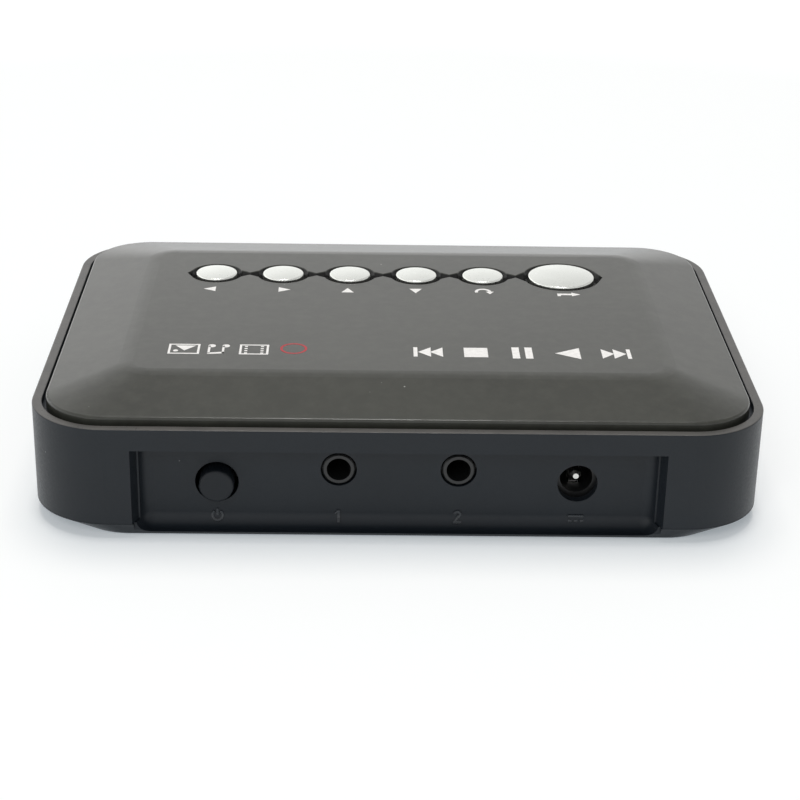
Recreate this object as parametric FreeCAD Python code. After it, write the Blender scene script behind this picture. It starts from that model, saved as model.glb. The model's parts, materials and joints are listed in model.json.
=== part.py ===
import FreeCAD, Part
import math
import os

from FreeCAD import Vector

# Desktop media player in a flat three-piece housing.
# Row frame: +X right and +Z up for a user who faces the key row and looks along +Y,
# so the front wall is -Y and the connector recess is in the rear wall, +Y.
# The origin is the middle of the footprint, on the table. All sizes are in millimetres.

# ---------------------------------------------------------------- housing
body_length = 110.0          # along X
body_depth = 80.0            # along Y
corner_radius = 11.7         # plan corners of the wall
foot_stand = 0.25            # the feet lift the floor this far
belly_height = 2.05          # sloped underside, from the floor up to the seam
wall_height = 15.45          # upright wall, from the seam to the rim
shell_wall = 1.8
rim_width = 1.5              # top of the wall beside the lid
rim_round = 0.2              # both edges of the rim
seam_round = 0.1
floor_thickness = 1.5
vent_pitch = 4.6
vent_width = 1.6
vent_length = 13.0
vent_end_round = 0.7
vents_per_bank = 9
vent_front_y = -17.0         # front end of the first bank
vent_bank_step = 19.0        # from the first bank to the second
belly_side_slope = 6.0       # how far the underside draws in at the two ends
belly_end_slope = 1.2        # and at the front and the rear
belly_corner_radius = 8.8
tongue_height = 1.8          # rib of the floor cover that stands inside the wall
tongue_thickness = 1.2
tongue_gap = 0.15            # clearance of that rib in the wall

# ---------------------------------------------------------------- lid
lid_gap = 0.6                # groove between rim and lid
lid_proud = 1.1              # lid edge above the rim
lid_edge_round = 0.45
bevel_width = 11.35
bevel_rise = 2.45
plateau_radius = 4.0
plateau_edge_round = 10.0    # soft change from bevel to plateau
lid_wall = 1.5
skirt_height = 2.15
ledge_width = 2.7            # shelf of the wall that carries the lid, measured from the rim
ledge_thickness = 1.2

# ---------------------------------------------------------------- connector recess
recess_end_inset = 15.6      # recess end to the end wall face
recess_header = 3.4          # wall left above the recess
recess_setback = 3.5         # rear plane to connector panel
recess_lean = 1.5            # how far each end leans in, from the rear plane to the panel
recess_sweep = 2.0           # concave round where panel, ends and sill meet
sill_height = 0.45           # sill of the floor cover below the recess
sill_step_back = 0.7         # sill edge to the rear plane
panel_wall = 1.5
recess_gap = 0.2             # between the floor cover's recess and the wall's cut-out

# ---------------------------------------------------------------- housing screws
boss_inset = 8.8             # screw axis to the outer wall faces
sleeve_radius = 3.0
screw_radius = 1.3
screw_clearance = 0.15       # round the shank in the floor and the sleeve
thread_fit = 0.05            # round the shank in its pilot hole
lid_boss_radius = 2.5
lid_boss_bottom_z = 12.0
screw_head_radius = 2.3
screw_head_height = 1.0
screw_bite = 5.2             # thread length inside the lid boss
screw_tip = 1.0
screw_edge = 0.3
pilot_run = 0.4              # pilot hole beyond the tip
screw_recess = 0.1           # head below the floor's underside
drive_width = 0.5            # cross recess of the head
drive_length = 2.4
drive_depth = 0.6
rib_thickness = 1.2
rib_lift = 0.3               # ribs above the cover's standing rib
foot_radius = 4.5
foot_edge = 0.2
foot_fit = 0.1               # round a pad in its pocket
foot_pocket = 0.5
foot_spacing_x = 62.0
foot_spacing_y = 52.0

# ---------------------------------------------------------------- main board
board_gap = 1.65             # floor to board
board_thickness = 1.2
board_end_gap = 1.5          # board edge to the cover's standing rib
board_panel_gap = 0.5        # board edge to the connector panel
board_notch = 4.7            # room round each housing boss
standoff_radius = 2.5
board_screw_inset = 10.0     # screw axis to the end wall faces
board_screw_front_inset = 21.0
board_screw_rear_inset = 24.0
small_screw_radius = 0.9
small_head_radius = 1.7
small_head_height = 1.1
small_screw_tip = 0.6
small_slot_width = 0.4
small_slot_length = 2.2
small_slot_depth = 0.4
board_screw_bite = 1.85      # thread length below the main board

# ---------------------------------------------------------------- connectors in the rear wall
port_pitch = 17.8
jack_axis_above_board = 5.4
jack_bore_radius = 1.8
jack_nose_radius = 2.45
jack_nose_clearance = 0.25
jack_body_width = 7.6
jack_wall_gap = 0.3          # connector panel to the body of a jack
jack_roof_drop = 0.4
jack_edge_round = 0.5
jack_nose_edge = 0.2
jack_slot_start = 2.0        # contact slots, from the rear of the body
jack_slot_width = 1.4
jack_slot_length = 4.5
jack_cheek_start = 4.0
jack_cheek_length = 1.6
contact_width = 1.0
contact_thickness = 0.3
contact_gap = 0.05           # bore to a contact, for the plug
contact_fit = 0.3            # contact to the end of its slot
jack_body_length = 13.4
jack_bore_depth = 14.3
inlet_axis_above_board = 3.4
inlet_bore_radius = 2.45
inlet_bore_depth = 8.0
inlet_pin_radius = 0.83
inlet_wall = 0.85
inlet_step_back = 2.2        # panel face to the front of the inlet
inlet_hole_radius = 3.0
inlet_body_length = 10.0
inlet_block_length = 3.5     # square rear block
inlet_slot_width = 1.8       # floor slot for the sleeve contact
inlet_slot_start = 3.0       # from the front of the inlet
inlet_slot_end = 7.5
inlet_slot_rise = 0.5
pin_heel_radius = 1.6
pin_heel_thickness = 0.5
pin_tip_gap = 0.3            # pin tip to the front of the inlet
pin_tip_taper = 0.4
pin_fit = 0.02
leaf_width = 1.4
leaf_thickness = 0.3
leaf_end_gap = 0.3

# ---------------------------------------------------------------- mains push switch
power_x = 27.0
power_axis_above_board = 3.2
power_cap_radius = 2.6
power_hole_radius = 3.25
power_cap_stand = 1.75       # cap face beyond the connector panel
power_travel = 1.6
power_cap_length = 6.5
switch_case_size = 5.8
switch_case_length = 8.0
switch_stem_size = 2.0
switch_collar_radius = 1.75
switch_spring_wire = 0.3
switch_spring_turns = 4
spring_steps_per_turn = 10
switch_collar_thickness = 0.4
power_cap_round = 0.45
power_cap_run = 1.1          # pressed cap to the switch case
stem_socket_depth = 3.0
switch_bore_start = 1.5      # rear of the case to its bore
switch_bore_clearance = 0.08
switch_edge_round = 0.4
switch_lead_width = 0.6
switch_lead_thickness = 0.4
switch_lead_spread = 4.4
switch_lead_pitch = 2.2

# ---------------------------------------------------------------- keys on the lid
key_row_y = -15.45
key_pitch = 11.3
key_first_x = 30.4           # the key at the right end of the row
small_key_radius = 3.45
large_key_radius = 5.6
large_key_step = 13.4        # from the last small key to the large one
key_clearance = 0.2
key_stand = 0.1              # straight side of a cap above the lid
key_dome = 0.35
key_edge_round = 0.3
key_flange = 0.75
key_flange_thickness = 0.7
key_flange_gap = 0.1
key_wall = 0.8
key_top_wall = 0.4           # top of a cap's hollow below the lid's plateau
key_travel = 0.25
well_width = 1.0
well_depth = 1.0
well_foot = 0.15             # flat ring at the foot of a well
link_width = 1.1             # waist of the groove that links two wells
link_depth = 0.9
link_floor_share = 0.25      # floor width of that groove, as a share of its width
link_flare = 20.0            # degrees of a well's rim that each groove takes, either side of the row
end_tip = 0.5                # pointed end of the row beyond its last wells

# ---------------------------------------------------------------- key board
key_board_thickness = 1.2
key_board_width = 17.6
key_board_end_margin = 4.6
key_board_z = 13.1           # lower face
key_boss_radius = 2.0
key_boss_offset_y = 6.3
tact_size = 6.0
tact_height = 3.4
tact_actuator_radius = 1.7
tact_bore_clearance = 0.08

key_board_corner = 1.2
key_boss_above_board = 4.4   # depth of the pilot hole in a key board boss
key_screw_bite = 3.8
tact_bore_depth = 1.6
tact_corner_cut = 0.7
tact_edge = 0.25
tact_lead_pitch = 4.5
tact_lead_width = 0.7
tact_lead_reach = 1.3
tact_lead_thickness = 0.3
tact_rest_gap = 0.25         # actuator to the bottom of its bore at full travel

# ---------------------------------------------------------------- header between the two boards
header_to_card = 1.3         # card reader to header
header_step_y = 6.0          # key row to header, towards the front
header_pins = 5
header_pin_step = 2.0
header_depth = 2.6
header_end_margin = 0.6
header_plug_height = 1.6
header_pin_size = 0.6
header_pin_length = 4.0
header_pin_clearance = 0.1

# ---------------------------------------------------------------- front and end connectors
usb_inset = 27.0             # middle of the host socket to the right end
usb_width = 13.1
usb_height = 5.7
usb_length = 14.0
usb_block_length = 4.0
usb_tongue_width = 11.1
usb_tongue_step = 0.6        # mouth to the end of the tongue
usb_tongue_top = 0.75        # roof to tongue
usb_tongue_thickness = 1.85
usb_slot_width = 1.2         # two slots in the roof, for springs
usb_slot_start = 3.5
usb_slot_end = 8.5
sleeve_round = 0.5
card_x = -5.0
card_width = 26.4
card_height = 3.0
card_length = 24.0
card_step_back = 1.0         # card reader behind the other mouths
card_floor = 0.6
card_rail = 1.2
card_comb = 2.0
card_window_width = 5.0      # two pressed windows in the roof
card_window_spread = 11.0
card_window_start = 8.0
card_window_end = 11.0
hdmi_y = -2.0
hdmi_width = 15.0
hdmi_height = 5.6
hdmi_length = 11.5
hdmi_corner_rise = 1.9       # cut lower corners
hdmi_corner_run = 1.6
hdmi_block_length = 3.0
hdmi_tongue_width = 11.8
hdmi_tongue_step = 0.8
hdmi_tongue_thickness = 1.1
sheet_metal = 0.35
port_clearance = 0.3
port_stop = 0.3              # connector mouths end this far inside the outer wall face
window_inset = 22.0          # middle of the window to the left end
window_width = 15.0
window_height = 5.2
window_z = 11.0
window_fit = 0.1
window_flange = 1.0
window_flange_thickness = 1.0
window_edge = 0.2

lamp_spacing = 3.4
lamp_radius = 1.4
lamp_length = 3.4
lamp_flange_radius = 1.55
lamp_flange_thickness = 0.8
lamp_lead_pitch = 1.2
lamp_from_window = 2.2       # first lamp to the middle of the window
receiver_from_window = 3.0   # receiver to the middle of the window, the other way
receiver_width = 6.0
receiver_depth = 3.0
receiver_height = 6.4
receiver_lens_radius = 2.2
receiver_lead_pitch = 1.9
lead_thickness = 0.4
lens_sink = 0.8              # lens centre behind the receiver's face
behind_window = 1.4          # wall's inner face to the parts behind the window

# ---------------------------------------------------------------- processor and heat sink
processor_x = -1.0
processor_size = 19.0
processor_height = 1.6
processor_edge = 0.3
ball_pitch = 2.9
ball_radius = 0.45
ball_height = 0.35
balls_per_side = 7
sink_size = 22.0
sink_height = 5.4
sink_base = 1.3
sink_fins = 9
sink_slot_share = 0.55       # slot between two fins, as a share of their pitch
sink_to_jacks = 2.3

# ---------------------------------------------------------------- smaller parts on the main board
chip_stand = 0.15
chip_edge = 0.25
chip_lead_reach = 0.8
chip_lead_width = 0.4
chip_lead_height = 0.35
lead_row_share = 0.84        # length of a lead row, as a share of the chip's side
memory_width = 8.4
memory_depth = 11.0
memory_height = 1.2
memory_gap = 3.0             # between the two memory chips
memory_to_sink = 5.3
flash_width = 12.0
flash_depth = 14.0
flash_to_sink = 3.0
regulator_width = 4.2
regulator_depth = 5.0
regulator_height = 1.4
audio_width = 6.4
audio_depth = 4.6
audio_height = 1.3
audio_to_panel = 8.5
crystal_length = 5.0
crystal_width = 3.0
crystal_height = 2.6
crystal_round = 1.2
crystal_to_sink = 1.2
large_can_radius = 2.9
large_can_height = 6.2
small_can_radius = 2.4
small_can_height = 5.6
can_groove = 0.25
can_groove_z = 1.0
inductor_size = 6.0
inductor_base = 0.8
inductor_drum_radius = 2.9
inductor_core_radius = 2.0
inductor_drum_height = 3.0
inductor_flange = 0.5
inductor_to_inlet = 2.3
inductor_step_x = 7.2        # second inductor beside the inlet
passive_length = 1.6
passive_width = 0.8
passive_height = 0.6
passive_pitch = 2.6

# ---------------------------------------------------------------- worked out from the sizes above
half_length = body_length / 2
half_depth = body_depth / 2
floor_z = foot_stand + floor_thickness
seam_z = foot_stand + belly_height
rim_z = seam_z + wall_height
lid_edge_z = rim_z + lid_proud
ledge_z = lid_edge_z - skirt_height
plateau_z = lid_edge_z + bevel_rise
ceiling_z = plateau_z - lid_wall
lid_inset = rim_width + lid_gap
plateau_inset = lid_inset + bevel_width
ledge_inset = rim_width + ledge_width
tongue_inset = shell_wall + tongue_gap
cavity_inset = tongue_inset + tongue_thickness
recess_width = body_length - 2 * recess_end_inset
recess_top_z = rim_z - recess_header
sill_z = foot_stand + sill_height
panel_y = half_depth - recess_setback
board_z = floor_z + board_gap
board_top = board_z + board_thickness
board_rear_y = panel_y - panel_wall - board_panel_gap
board_half_x = half_length - cavity_inset - board_end_gap
board_front_y = -(half_depth - cavity_inset) + board_end_gap / 2
boss_x = half_length - boss_inset
boss_y = half_depth - boss_inset
jack_z = board_top + jack_axis_above_board
inlet_z = board_top + inlet_axis_above_board
power_z = board_top + power_axis_above_board
jack_x = 0.5 * port_pitch
inlet_x = -1.5 * port_pitch
small_key_names = ["right", "left", "down", "up", "back"]
key_places = [(name, key_first_x - i * key_pitch, small_key_radius) for i, name in enumerate(small_key_names)]
key_places.append(("enter", key_places[-1][1] - large_key_step, large_key_radius))
flange_top_z = ceiling_z - key_flange_gap
flange_bottom_z = flange_top_z - key_flange_thickness
key_board_top = key_board_z + key_board_thickness
header_width = header_pins * header_pin_step + header_end_margin
header_x = card_x + card_width / 2 + header_to_card + header_width / 2
header_y = key_row_y - header_step_y
board_screw_x = half_length - board_screw_inset
board_screw_front_y = board_screw_front_inset - half_depth
board_screw_rear_y = half_depth - board_screw_rear_inset
usb_x = half_length - usb_inset
window_x = window_inset - half_length
jack_front_y = panel_y - panel_wall - jack_wall_gap
jack_back_y = jack_front_y - jack_body_length
processor_y = jack_back_y - sink_to_jacks - sink_size / 2
sink_left_x = processor_x - sink_size / 2
sink_right_x = processor_x + sink_size / 2
sink_front_y = processor_y - sink_size / 2
inlet_front_y = panel_y - inlet_step_back
inlet_back_y = inlet_front_y - inlet_body_length

parts = {}


# ---------------------------------------------------------------- helpers
def box(x0, x1, y0, y1, z0, z1):
    return Part.makeBox(x1 - x0, y1 - y0, z1 - z0, Vector(x0, y0, z0))


def centred_box(x, width, y0, y1, z0, z1):
    return box(x - width / 2, x + width / 2, y0, y1, z0, z1)


def post(x, y, z0, z1, radius):
    """Upright cylinder."""
    return Part.makeCylinder(radius, z1 - z0, Vector(x, y, z0))


def rod(x, z, y0, y1, radius):
    """Cylinder along Y."""
    return Part.makeCylinder(radius, y1 - y0, Vector(x, y0, z), Vector(0, 1, 0))


def outline(half_x, half_y, radius, z):
    """Closed rounded rectangle, as four lines and four arcs."""
    edges = []
    corners = [(1, -1, -90), (1, 1, 0), (-1, 1, 90), (-1, -1, 180)]
    points = []
    for sx, sy, start in corners:
        cx, cy = sx * (half_x - radius), sy * (half_y - radius)
        turn = [math.radians(start + step) for step in (0, 45, 90)]
        points.append([Vector(cx + radius * math.cos(a), cy + radius * math.sin(a), z) for a in turn])
    for i, (first, middle, last) in enumerate(points):
        edges.append(Part.Arc(first, middle, last).toShape())
        edges.append(Part.LineSegment(last, points[(i + 1) % 4][0]).toShape())
    return Part.Wire(edges)


def inset_outline(inset, z):
    """The housing's plan outline, drawn in by inset."""
    return outline(half_length - inset, half_depth - inset, corner_radius - inset, z)


def prism(wire, height):
    return Part.Face(wire).extrude(Vector(0, 0, height))


def housing_prism(inset, z0, z1):
    return prism(inset_outline(inset, z0), z1 - z0)


def loft(*wires):
    return Part.makeLoft(list(wires), True, True)


def round_edges(shape, radius, chosen):
    """Fillet the edges for which chosen(edge) is true."""
    return shape.makeFillet(radius, [edge for edge in shape.Edges if chosen(edge)])


def level(z):
    """Test for an edge that lies wholly at height z."""
    return lambda edge: all(abs(v.Z - z) < 1e-6 for v in edge.Vertexes) and abs(edge.BoundBox.ZLength) < 1e-6


def fuse(shapes):
    joined = shapes[0].fuse(shapes[1:]) if len(shapes) > 1 else shapes[0]
    return joined.removeSplitter()


def corners():
    return [(sx, sy) for sx in (-1, 1) for sy in (-1, 1)]


def turned(profile, x, y, z):
    """Solid of revolution about the upright line through x, y; profile is (radius, height) pairs."""
    points = [Vector(r, 0, h) for r, h in profile]
    face = Part.Face(Part.makePolygon(points + points[:1]))
    solid = face.revolve(Vector(0, 0, 0), Vector(0, 0, 1), 360)
    solid.translate(Vector(x, y, z))
    return solid


# ---------------------------------------------------------------- housing pieces
def recess_prism(half, front_y, z0, z1):
    """Block from front_y out through the rear plane, half wide at that plane, with leaning ends."""
    lean = recess_lean / recess_setback
    points = []
    for y in (front_y, half_depth + 1):
        reach = half - (half_depth - y) * lean
        points += [(-reach, y), (reach, y)] if not points else [(reach, y), (-reach, y)]
    wire = Part.makePolygon([Vector(x, y, z0) for x, y in points + points[:1]])
    return prism(wire, z1 - z0)


def recess_block(gap, wall):
    """Block of the recess, larger by wall; gap draws its ends in from the cut-out."""
    bottom, back = sill_z - wall, panel_y - wall
    block = recess_prism(recess_width / 2 - gap + wall, back, bottom, recess_top_z - gap + wall)

    def swept(edge):
        flat = edge.BoundBox
        low, at_panel = flat.ZMax < bottom + 0.01, flat.YMax < back + 0.01
        at_end = low and flat.YLength > recess_setback
        return (at_panel and (low or flat.ZLength > 1)) or at_end

    return round_edges(block, recess_sweep + wall, swept)


def port_row():
    """Centre, height and panel hole radius of everything in the connector panel."""
    jack_hole = jack_nose_radius + jack_nose_clearance
    return [
        (power_x, power_z, power_hole_radius),
        (jack_x, jack_z, jack_hole),
        (-jack_x, jack_z, jack_hole),
        (inlet_x, inlet_z, inlet_hole_radius),
    ]


def front_cutouts():
    """Openings in the front and end walls for connectors and the window, as cutting blocks."""
    outside, inside = -half_depth - 1, -half_depth + shell_wall + 1
    gap = port_clearance
    usb = centred_box(usb_x, usb_width + 2 * gap, outside, inside, board_top - gap / 2,
                      board_top + usb_height + gap)
    card = centred_box(card_x, card_width + 2 * gap, outside, inside, board_top - gap / 2,
                       board_top + card_height + gap)
    window = centred_box(window_x, window_width, outside, inside, window_z - window_height / 2,
                         window_z + window_height / 2)
    hdmi = box(-half_length - 1, -half_length + shell_wall + 1, hdmi_y - hdmi_width / 2 - gap,
               hdmi_y + hdmi_width / 2 + gap, board_top - gap / 2, board_top + hdmi_height + gap)
    return [usb, card, window, hdmi]


def frame_shell():
    """Upright wall with its rim, the shelf for the lid, the recess cut-out and the screw sleeves."""
    wall = housing_prism(0, seam_z, rim_z)
    wall = round_edges(wall, seam_round, level(seam_z))
    ledge_bottom = ledge_z - ledge_thickness
    wall = wall.cut(housing_prism(shell_wall, seam_z - 1, ledge_bottom))
    wall = wall.cut(housing_prism(rim_width, ledge_z, rim_z + 1))
    wall = round_edges(wall, rim_round, level(rim_z))
    wall = wall.cut(housing_prism(ledge_inset, seam_z, rim_z + 1))
    half = recess_width / 2
    notch = recess_prism(half, half_depth - shell_wall - 1, seam_z - 1, recess_top_z)
    header = box(-half - panel_wall, half + panel_wall, panel_y - panel_wall, half_depth - rim_width,
                 recess_top_z, ledge_bottom + 0.1)
    wall = wall.cut(notch)
    sleeves = []
    for sx, sy in corners():
        x, y = sx * boss_x, sy * boss_y
        end_x, side_y = sx * (half_length - shell_wall / 2), sy * (half_depth - shell_wall / 2)
        half_rib, rib_bottom = rib_thickness / 2, seam_z + tongue_height + rib_lift
        sleeves.append(post(x, y, floor_z, lid_boss_bottom_z, sleeve_radius))
        sleeves.append(box(min(x, end_x), max(x, end_x), y - half_rib, y + half_rib, rib_bottom,
                           lid_boss_bottom_z))
        sleeves.append(box(x - half_rib, x + half_rib, min(y, side_y), max(y, side_y), rib_bottom,
                           lid_boss_bottom_z))
    shell = fuse([wall, header] + sleeves)
    holes = [post(sx * boss_x, sy * boss_y, seam_z - 2, rim_z, screw_radius + screw_clearance)
             for sx, sy in corners()]
    return shell.cut(Part.makeCompound(holes + front_cutouts()))


def lid_body():
    """Lid skin: skirt, sloped bevel and flat plateau, hollow below."""
    skirt = housing_prism(lid_inset, ledge_z, lid_edge_z)
    skirt = round_edges(skirt, lid_edge_round, level(lid_edge_z))
    slope_inset = lid_inset + lid_edge_round
    plateau_x = half_length - plateau_inset
    plateau_y = half_depth - plateau_inset
    top = outline(plateau_x, plateau_y, plateau_radius, plateau_z)
    slope = loft(inset_outline(slope_inset, lid_edge_z), top)
    slope = round_edges(slope, plateau_edge_round, level(plateau_z))
    inner_low = inset_outline(lid_inset + lid_wall, lid_edge_z - lid_wall)
    step_in = lid_wall / 4
    inner_top = outline(plateau_x - step_in, plateau_y - step_in, plateau_radius - step_in, ceiling_z)
    inner_skirt = housing_prism(lid_inset + lid_wall, ledge_z - 1, lid_edge_z - lid_wall)
    return fuse([skirt, slope]).cut(fuse([inner_skirt, loft(inner_low, inner_top)]))


def well_cutters():
    """Dished wells round the keys, their pointed ends and the grooves that link them."""
    cutters = []
    for name, x, radius in key_places:
        rim = radius + well_width
        foot = radius + key_clearance + well_foot
        profile = [(0, 0), (foot, 0), (rim, well_depth), (rim, well_depth + 1), (0, well_depth + 1)]
        cutters.append(turned(profile, x, key_row_y, plateau_z - well_depth))
        cutters.append(post(x, key_row_y, ceiling_z - 1, plateau_z + 1, radius + key_clearance))
    stations = [(key_places[0][1] + small_key_radius + well_width + end_tip, None)]
    stations += [(x, radius + well_width) for name, x, radius in key_places]
    stations.append((key_places[-1][1] - large_key_radius - well_width - end_tip, None))
    for (x1, r1), (x2, r2) in zip(stations[:-1], stations[1:]):
        cutters.append(link_cutter(x1, r1, x2, r2))
    return cutters


def link_cutter(x1, r1, x2, r2):
    """Groove between two wells that narrows to a waist; at an end of the row it runs out in a point."""
    flare = math.radians(link_flare)
    if r1 is None or r2 is None:
        centre, radius, tip = (x2, r2, x1) if r1 is None else (x1, r1, x2)
        toward = 1 if tip > centre else -1
        edge = centre + toward * radius * math.cos(flare)
        rise = radius * math.sin(flare)
        points = [(edge, -rise), (tip, 0), (edge, rise)]
    else:
        a = x1 - r1 * math.cos(flare)
        b = x2 + r2 * math.cos(flare)
        middle = (x1 - r1 + x2 + r2) / 2
        rise_a, rise_b, waist = r1 * math.sin(flare), r2 * math.sin(flare), link_width / 2
        points = [(a, -rise_a), (middle, -waist), (b, -rise_b), (b, rise_b), (middle, waist), (a, rise_a)]
    low, high = plateau_z - link_depth, plateau_z + link_depth
    floor_outline = [Vector(x, key_row_y + y * link_floor_share, low) for x, y in points]
    top_outline = [Vector(x, key_row_y + y * (2 - link_floor_share), high) for x, y in points]
    wires = [Part.makePolygon(line + line[:1]) for line in (floor_outline, top_outline)]
    return loft(*wires)


def key_boss_places():
    """Two pairs of bosses, each pair between two keys."""
    middle_right = key_first_x - key_pitch / 2
    middle_left = key_first_x - 4 * key_pitch - large_key_step / 2
    middle_left += (large_key_radius - small_key_radius) / 2
    return [(x, key_row_y + sy * key_boss_offset_y) for x in (middle_left, middle_right) for sy in (-1, 1)]


def top_panel():
    """Lid with its wells, its four screw bosses and the bosses of the key board."""
    lid = lid_body()
    bosses = [post(sx * boss_x, sy * boss_y, lid_boss_bottom_z, lid_edge_z, lid_boss_radius)
              for sx, sy in corners()]
    bosses += [post(x, y, key_board_top, ceiling_z + 0.2, key_boss_radius) for x, y in key_boss_places()]
    lid = fuse([lid] + bosses)
    pilot = screw_radius + thread_fit
    pilot_end = lid_boss_bottom_z + screw_bite + pilot_run
    key_pilot, key_pilot_end = small_screw_radius + thread_fit, key_board_top + key_boss_above_board
    drills = [post(sx * boss_x, sy * boss_y, lid_boss_bottom_z - 1, pilot_end, pilot) for sx, sy in corners()]
    drills += [post(x, y, key_board_top - 1, key_pilot_end, key_pilot) for x, y in key_boss_places()]
    for cutter in drills + well_cutters():
        lid = lid.cut(cutter)
    return lid


def board_screw_places():
    rows = (board_screw_front_y, board_screw_rear_y)
    return [(sx * board_screw_x, y) for sx in (-1, 1) for y in rows]


def foot_places():
    return [(sx * foot_spacing_x / 2, sy * foot_spacing_y / 2) for sx, sy in corners()]


def vent_slots():
    """Two banks of air slots in the floor, under the processor."""
    slots = []
    for i in range(vents_per_bank):
        x = (i - (vents_per_bank - 1) / 2) * vent_pitch
        for y in (vent_front_y, vent_front_y + vent_bank_step):
            slot = centred_box(x, vent_width, y, y + vent_length, foot_stand - 1, floor_z + 1)
            slots.append(round_edges(slot, vent_end_round, lambda edge: abs(edge.BoundBox.ZLength) > 1))
    return slots


def bottom_cover():
    """Floor cover: sloped belly, standing rib, recess, standoffs, foot pockets and air slots."""
    low_x, low_y = half_length - belly_side_slope, half_depth - belly_end_slope
    low = outline(low_x, low_y, belly_corner_radius, foot_stand)
    cover = loft(low, inset_outline(0, seam_z))
    cover = cover.fuse(housing_prism(tongue_inset, floor_z, seam_z + tongue_height))
    cover = cover.cut(housing_prism(cavity_inset, floor_z, seam_z + tongue_height + 1))
    shroud = recess_block(recess_gap, panel_wall)
    shroud = shroud.common(box(-half_length, half_length, 0, half_depth - tongue_inset, foot_stand,
                               recess_top_z - recess_gap))
    standoffs = [post(x, y, floor_z - 0.2, board_z, standoff_radius) for x, y in board_screw_places()]
    cover = fuse([cover, shroud] + standoffs)
    sill_half = recess_width / 2 - recess_gap
    drills = [recess_block(recess_gap, 0)]
    drills.append(centred_box(0, 2 * sill_half, half_depth - sill_step_back, half_depth + 1, 0, recess_top_z))
    drills += [rod(x, z, panel_y - panel_wall - 1, half_depth, radius) for x, z, radius in port_row()]
    for sx, sy in corners():
        x, y = sx * boss_x, sy * boss_y
        drills.append(post(x, y, 0, floor_z + 1, screw_radius + screw_clearance))
        drills.append(post(x, y, 0, foot_stand + screw_recess + screw_head_height,
                           screw_head_radius + screw_clearance))
    drills += [post(x, y, 0, foot_stand + foot_pocket, foot_radius + foot_fit) for x, y in foot_places()]
    drills += [post(x, y, floor_z - 0.5, board_z + 1, small_screw_radius + thread_fit)
               for x, y in board_screw_places()]
    for cutter in drills + vent_slots():
        cover = cover.cut(cutter)
    return cover


def rubber_feet():
    """Four pads with a softened lower edge, each seated in a pocket of the floor."""
    r, top = foot_radius, foot_stand + foot_pocket
    profile = [(0, 0), (r - foot_edge, 0), (r, foot_edge), (r, top), (0, top)]
    return Part.makeCompound([turned(profile, x, y, 0) for x, y in foot_places()])


def case_screws():
    """Four long screws through floor and sleeve into the lid."""
    head_z = foot_stand + screw_recess
    head_top = head_z + screw_head_height
    tip_z = lid_boss_bottom_z + screw_bite
    head_edge, shank_edge = screw_head_radius - screw_edge, screw_radius - screw_tip
    profile = [(0, head_z), (head_edge, head_z), (screw_head_radius, head_z + screw_edge),
               (screw_head_radius, head_top), (screw_radius, head_top), (screw_radius, tip_z - screw_tip),
               (shank_edge, tip_z), (0, tip_z)]
    screws = []
    for sx, sy in corners():
        x, y = sx * boss_x, sy * boss_y
        screw = turned(profile, x, y, 0)
        for width, length in ((drive_width, drive_length), (drive_length, drive_width)):
            y0, y1 = y - length / 2, y + length / 2
            screw = screw.cut(centred_box(x, width, y0, y1, 0, head_z + drive_depth))
        screws.append(screw)
    return Part.makeCompound(screws)


def small_screw(x, y, seat_z, up, length):
    """Small screw seated at seat_z; up is 1 when its head is above the seat."""
    r, head, high = small_screw_radius, small_head_radius, small_head_height
    tip, tip_start = r - small_screw_tip, small_screw_tip - length
    profile = [(0, high), (head * 0.6, high), (head, high / 2), (head, 0), (r, 0), (r, tip_start),
               (tip, -length), (0, -length)]
    screw = turned([(radius, up * h) for radius, h in profile], x, y, seat_z)
    top, half = seat_z + up * high, small_slot_length / 2
    deep = small_slot_depth
    slot = centred_box(x, small_slot_width, y - half, y + half, top - deep, top + deep)
    return screw.cut(slot)


# ---------------------------------------------------------------- boards
def main_board():
    board = box(-board_half_x, board_half_x, board_front_y, board_rear_y, board_z, board_top)
    cutters = []
    for sx, sy in corners():
        x0, y0 = sx * (boss_x - board_notch), sy * (boss_y - board_notch)
        notch = box(min(x0, sx * half_length), max(x0, sx * half_length), min(y0, sy * half_depth),
                    max(y0, sy * half_depth), board_z - 1, board_top + 1)
        cutters.append(notch)
    cutters += [post(x, y, board_z - 1, board_top + 1, small_screw_radius + screw_clearance)
                for x, y in board_screw_places()]
    return board.cut(Part.makeCompound(cutters))


def board_screws():
    length = board_thickness + board_screw_bite
    return Part.makeCompound([small_screw(x, y, board_top, 1, length) for x, y in board_screw_places()])


def key_board_box():
    left = key_places[-1][1] - large_key_radius - key_board_end_margin
    right = key_first_x + small_key_radius + key_board_end_margin
    return left, right


def key_board():
    left, right = key_board_box()
    half = key_board_width / 2
    board = box(left, right, key_row_y - half, key_row_y + half, key_board_z, key_board_top)
    board = round_edges(board, key_board_corner, lambda edge: abs(edge.BoundBox.ZLength) > 0.5)
    holes = [post(x, y, key_board_z - 1, key_board_top + 1, small_screw_radius + screw_clearance)
             for x, y in key_boss_places()]
    return board.cut(Part.makeCompound(holes))


def key_board_screws():
    length = key_board_thickness + key_screw_bite
    return Part.makeCompound([small_screw(x, y, key_board_z, -1, length) for x, y in key_boss_places()])


def header_pin_places():
    return [header_x + (i - (header_pins - 1) / 2) * header_pin_step for i in range(header_pins)]


def header_strip(bottom, top):
    half = header_depth / 2
    return centred_box(header_x, header_width, header_y - half, header_y + half, bottom, top)


def header_socket():
    """Socket strip on the main board that takes the key board's pins."""
    top = key_board_z - header_plug_height
    half = header_pin_size / 2 + header_pin_clearance
    depth = header_pin_length + header_pin_clearance
    holes = [centred_box(x, 2 * half, header_y - half, header_y + half, top - depth, top + 1)
             for x in header_pin_places()]
    return header_strip(board_top, top).cut(Part.makeCompound(holes))


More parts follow.
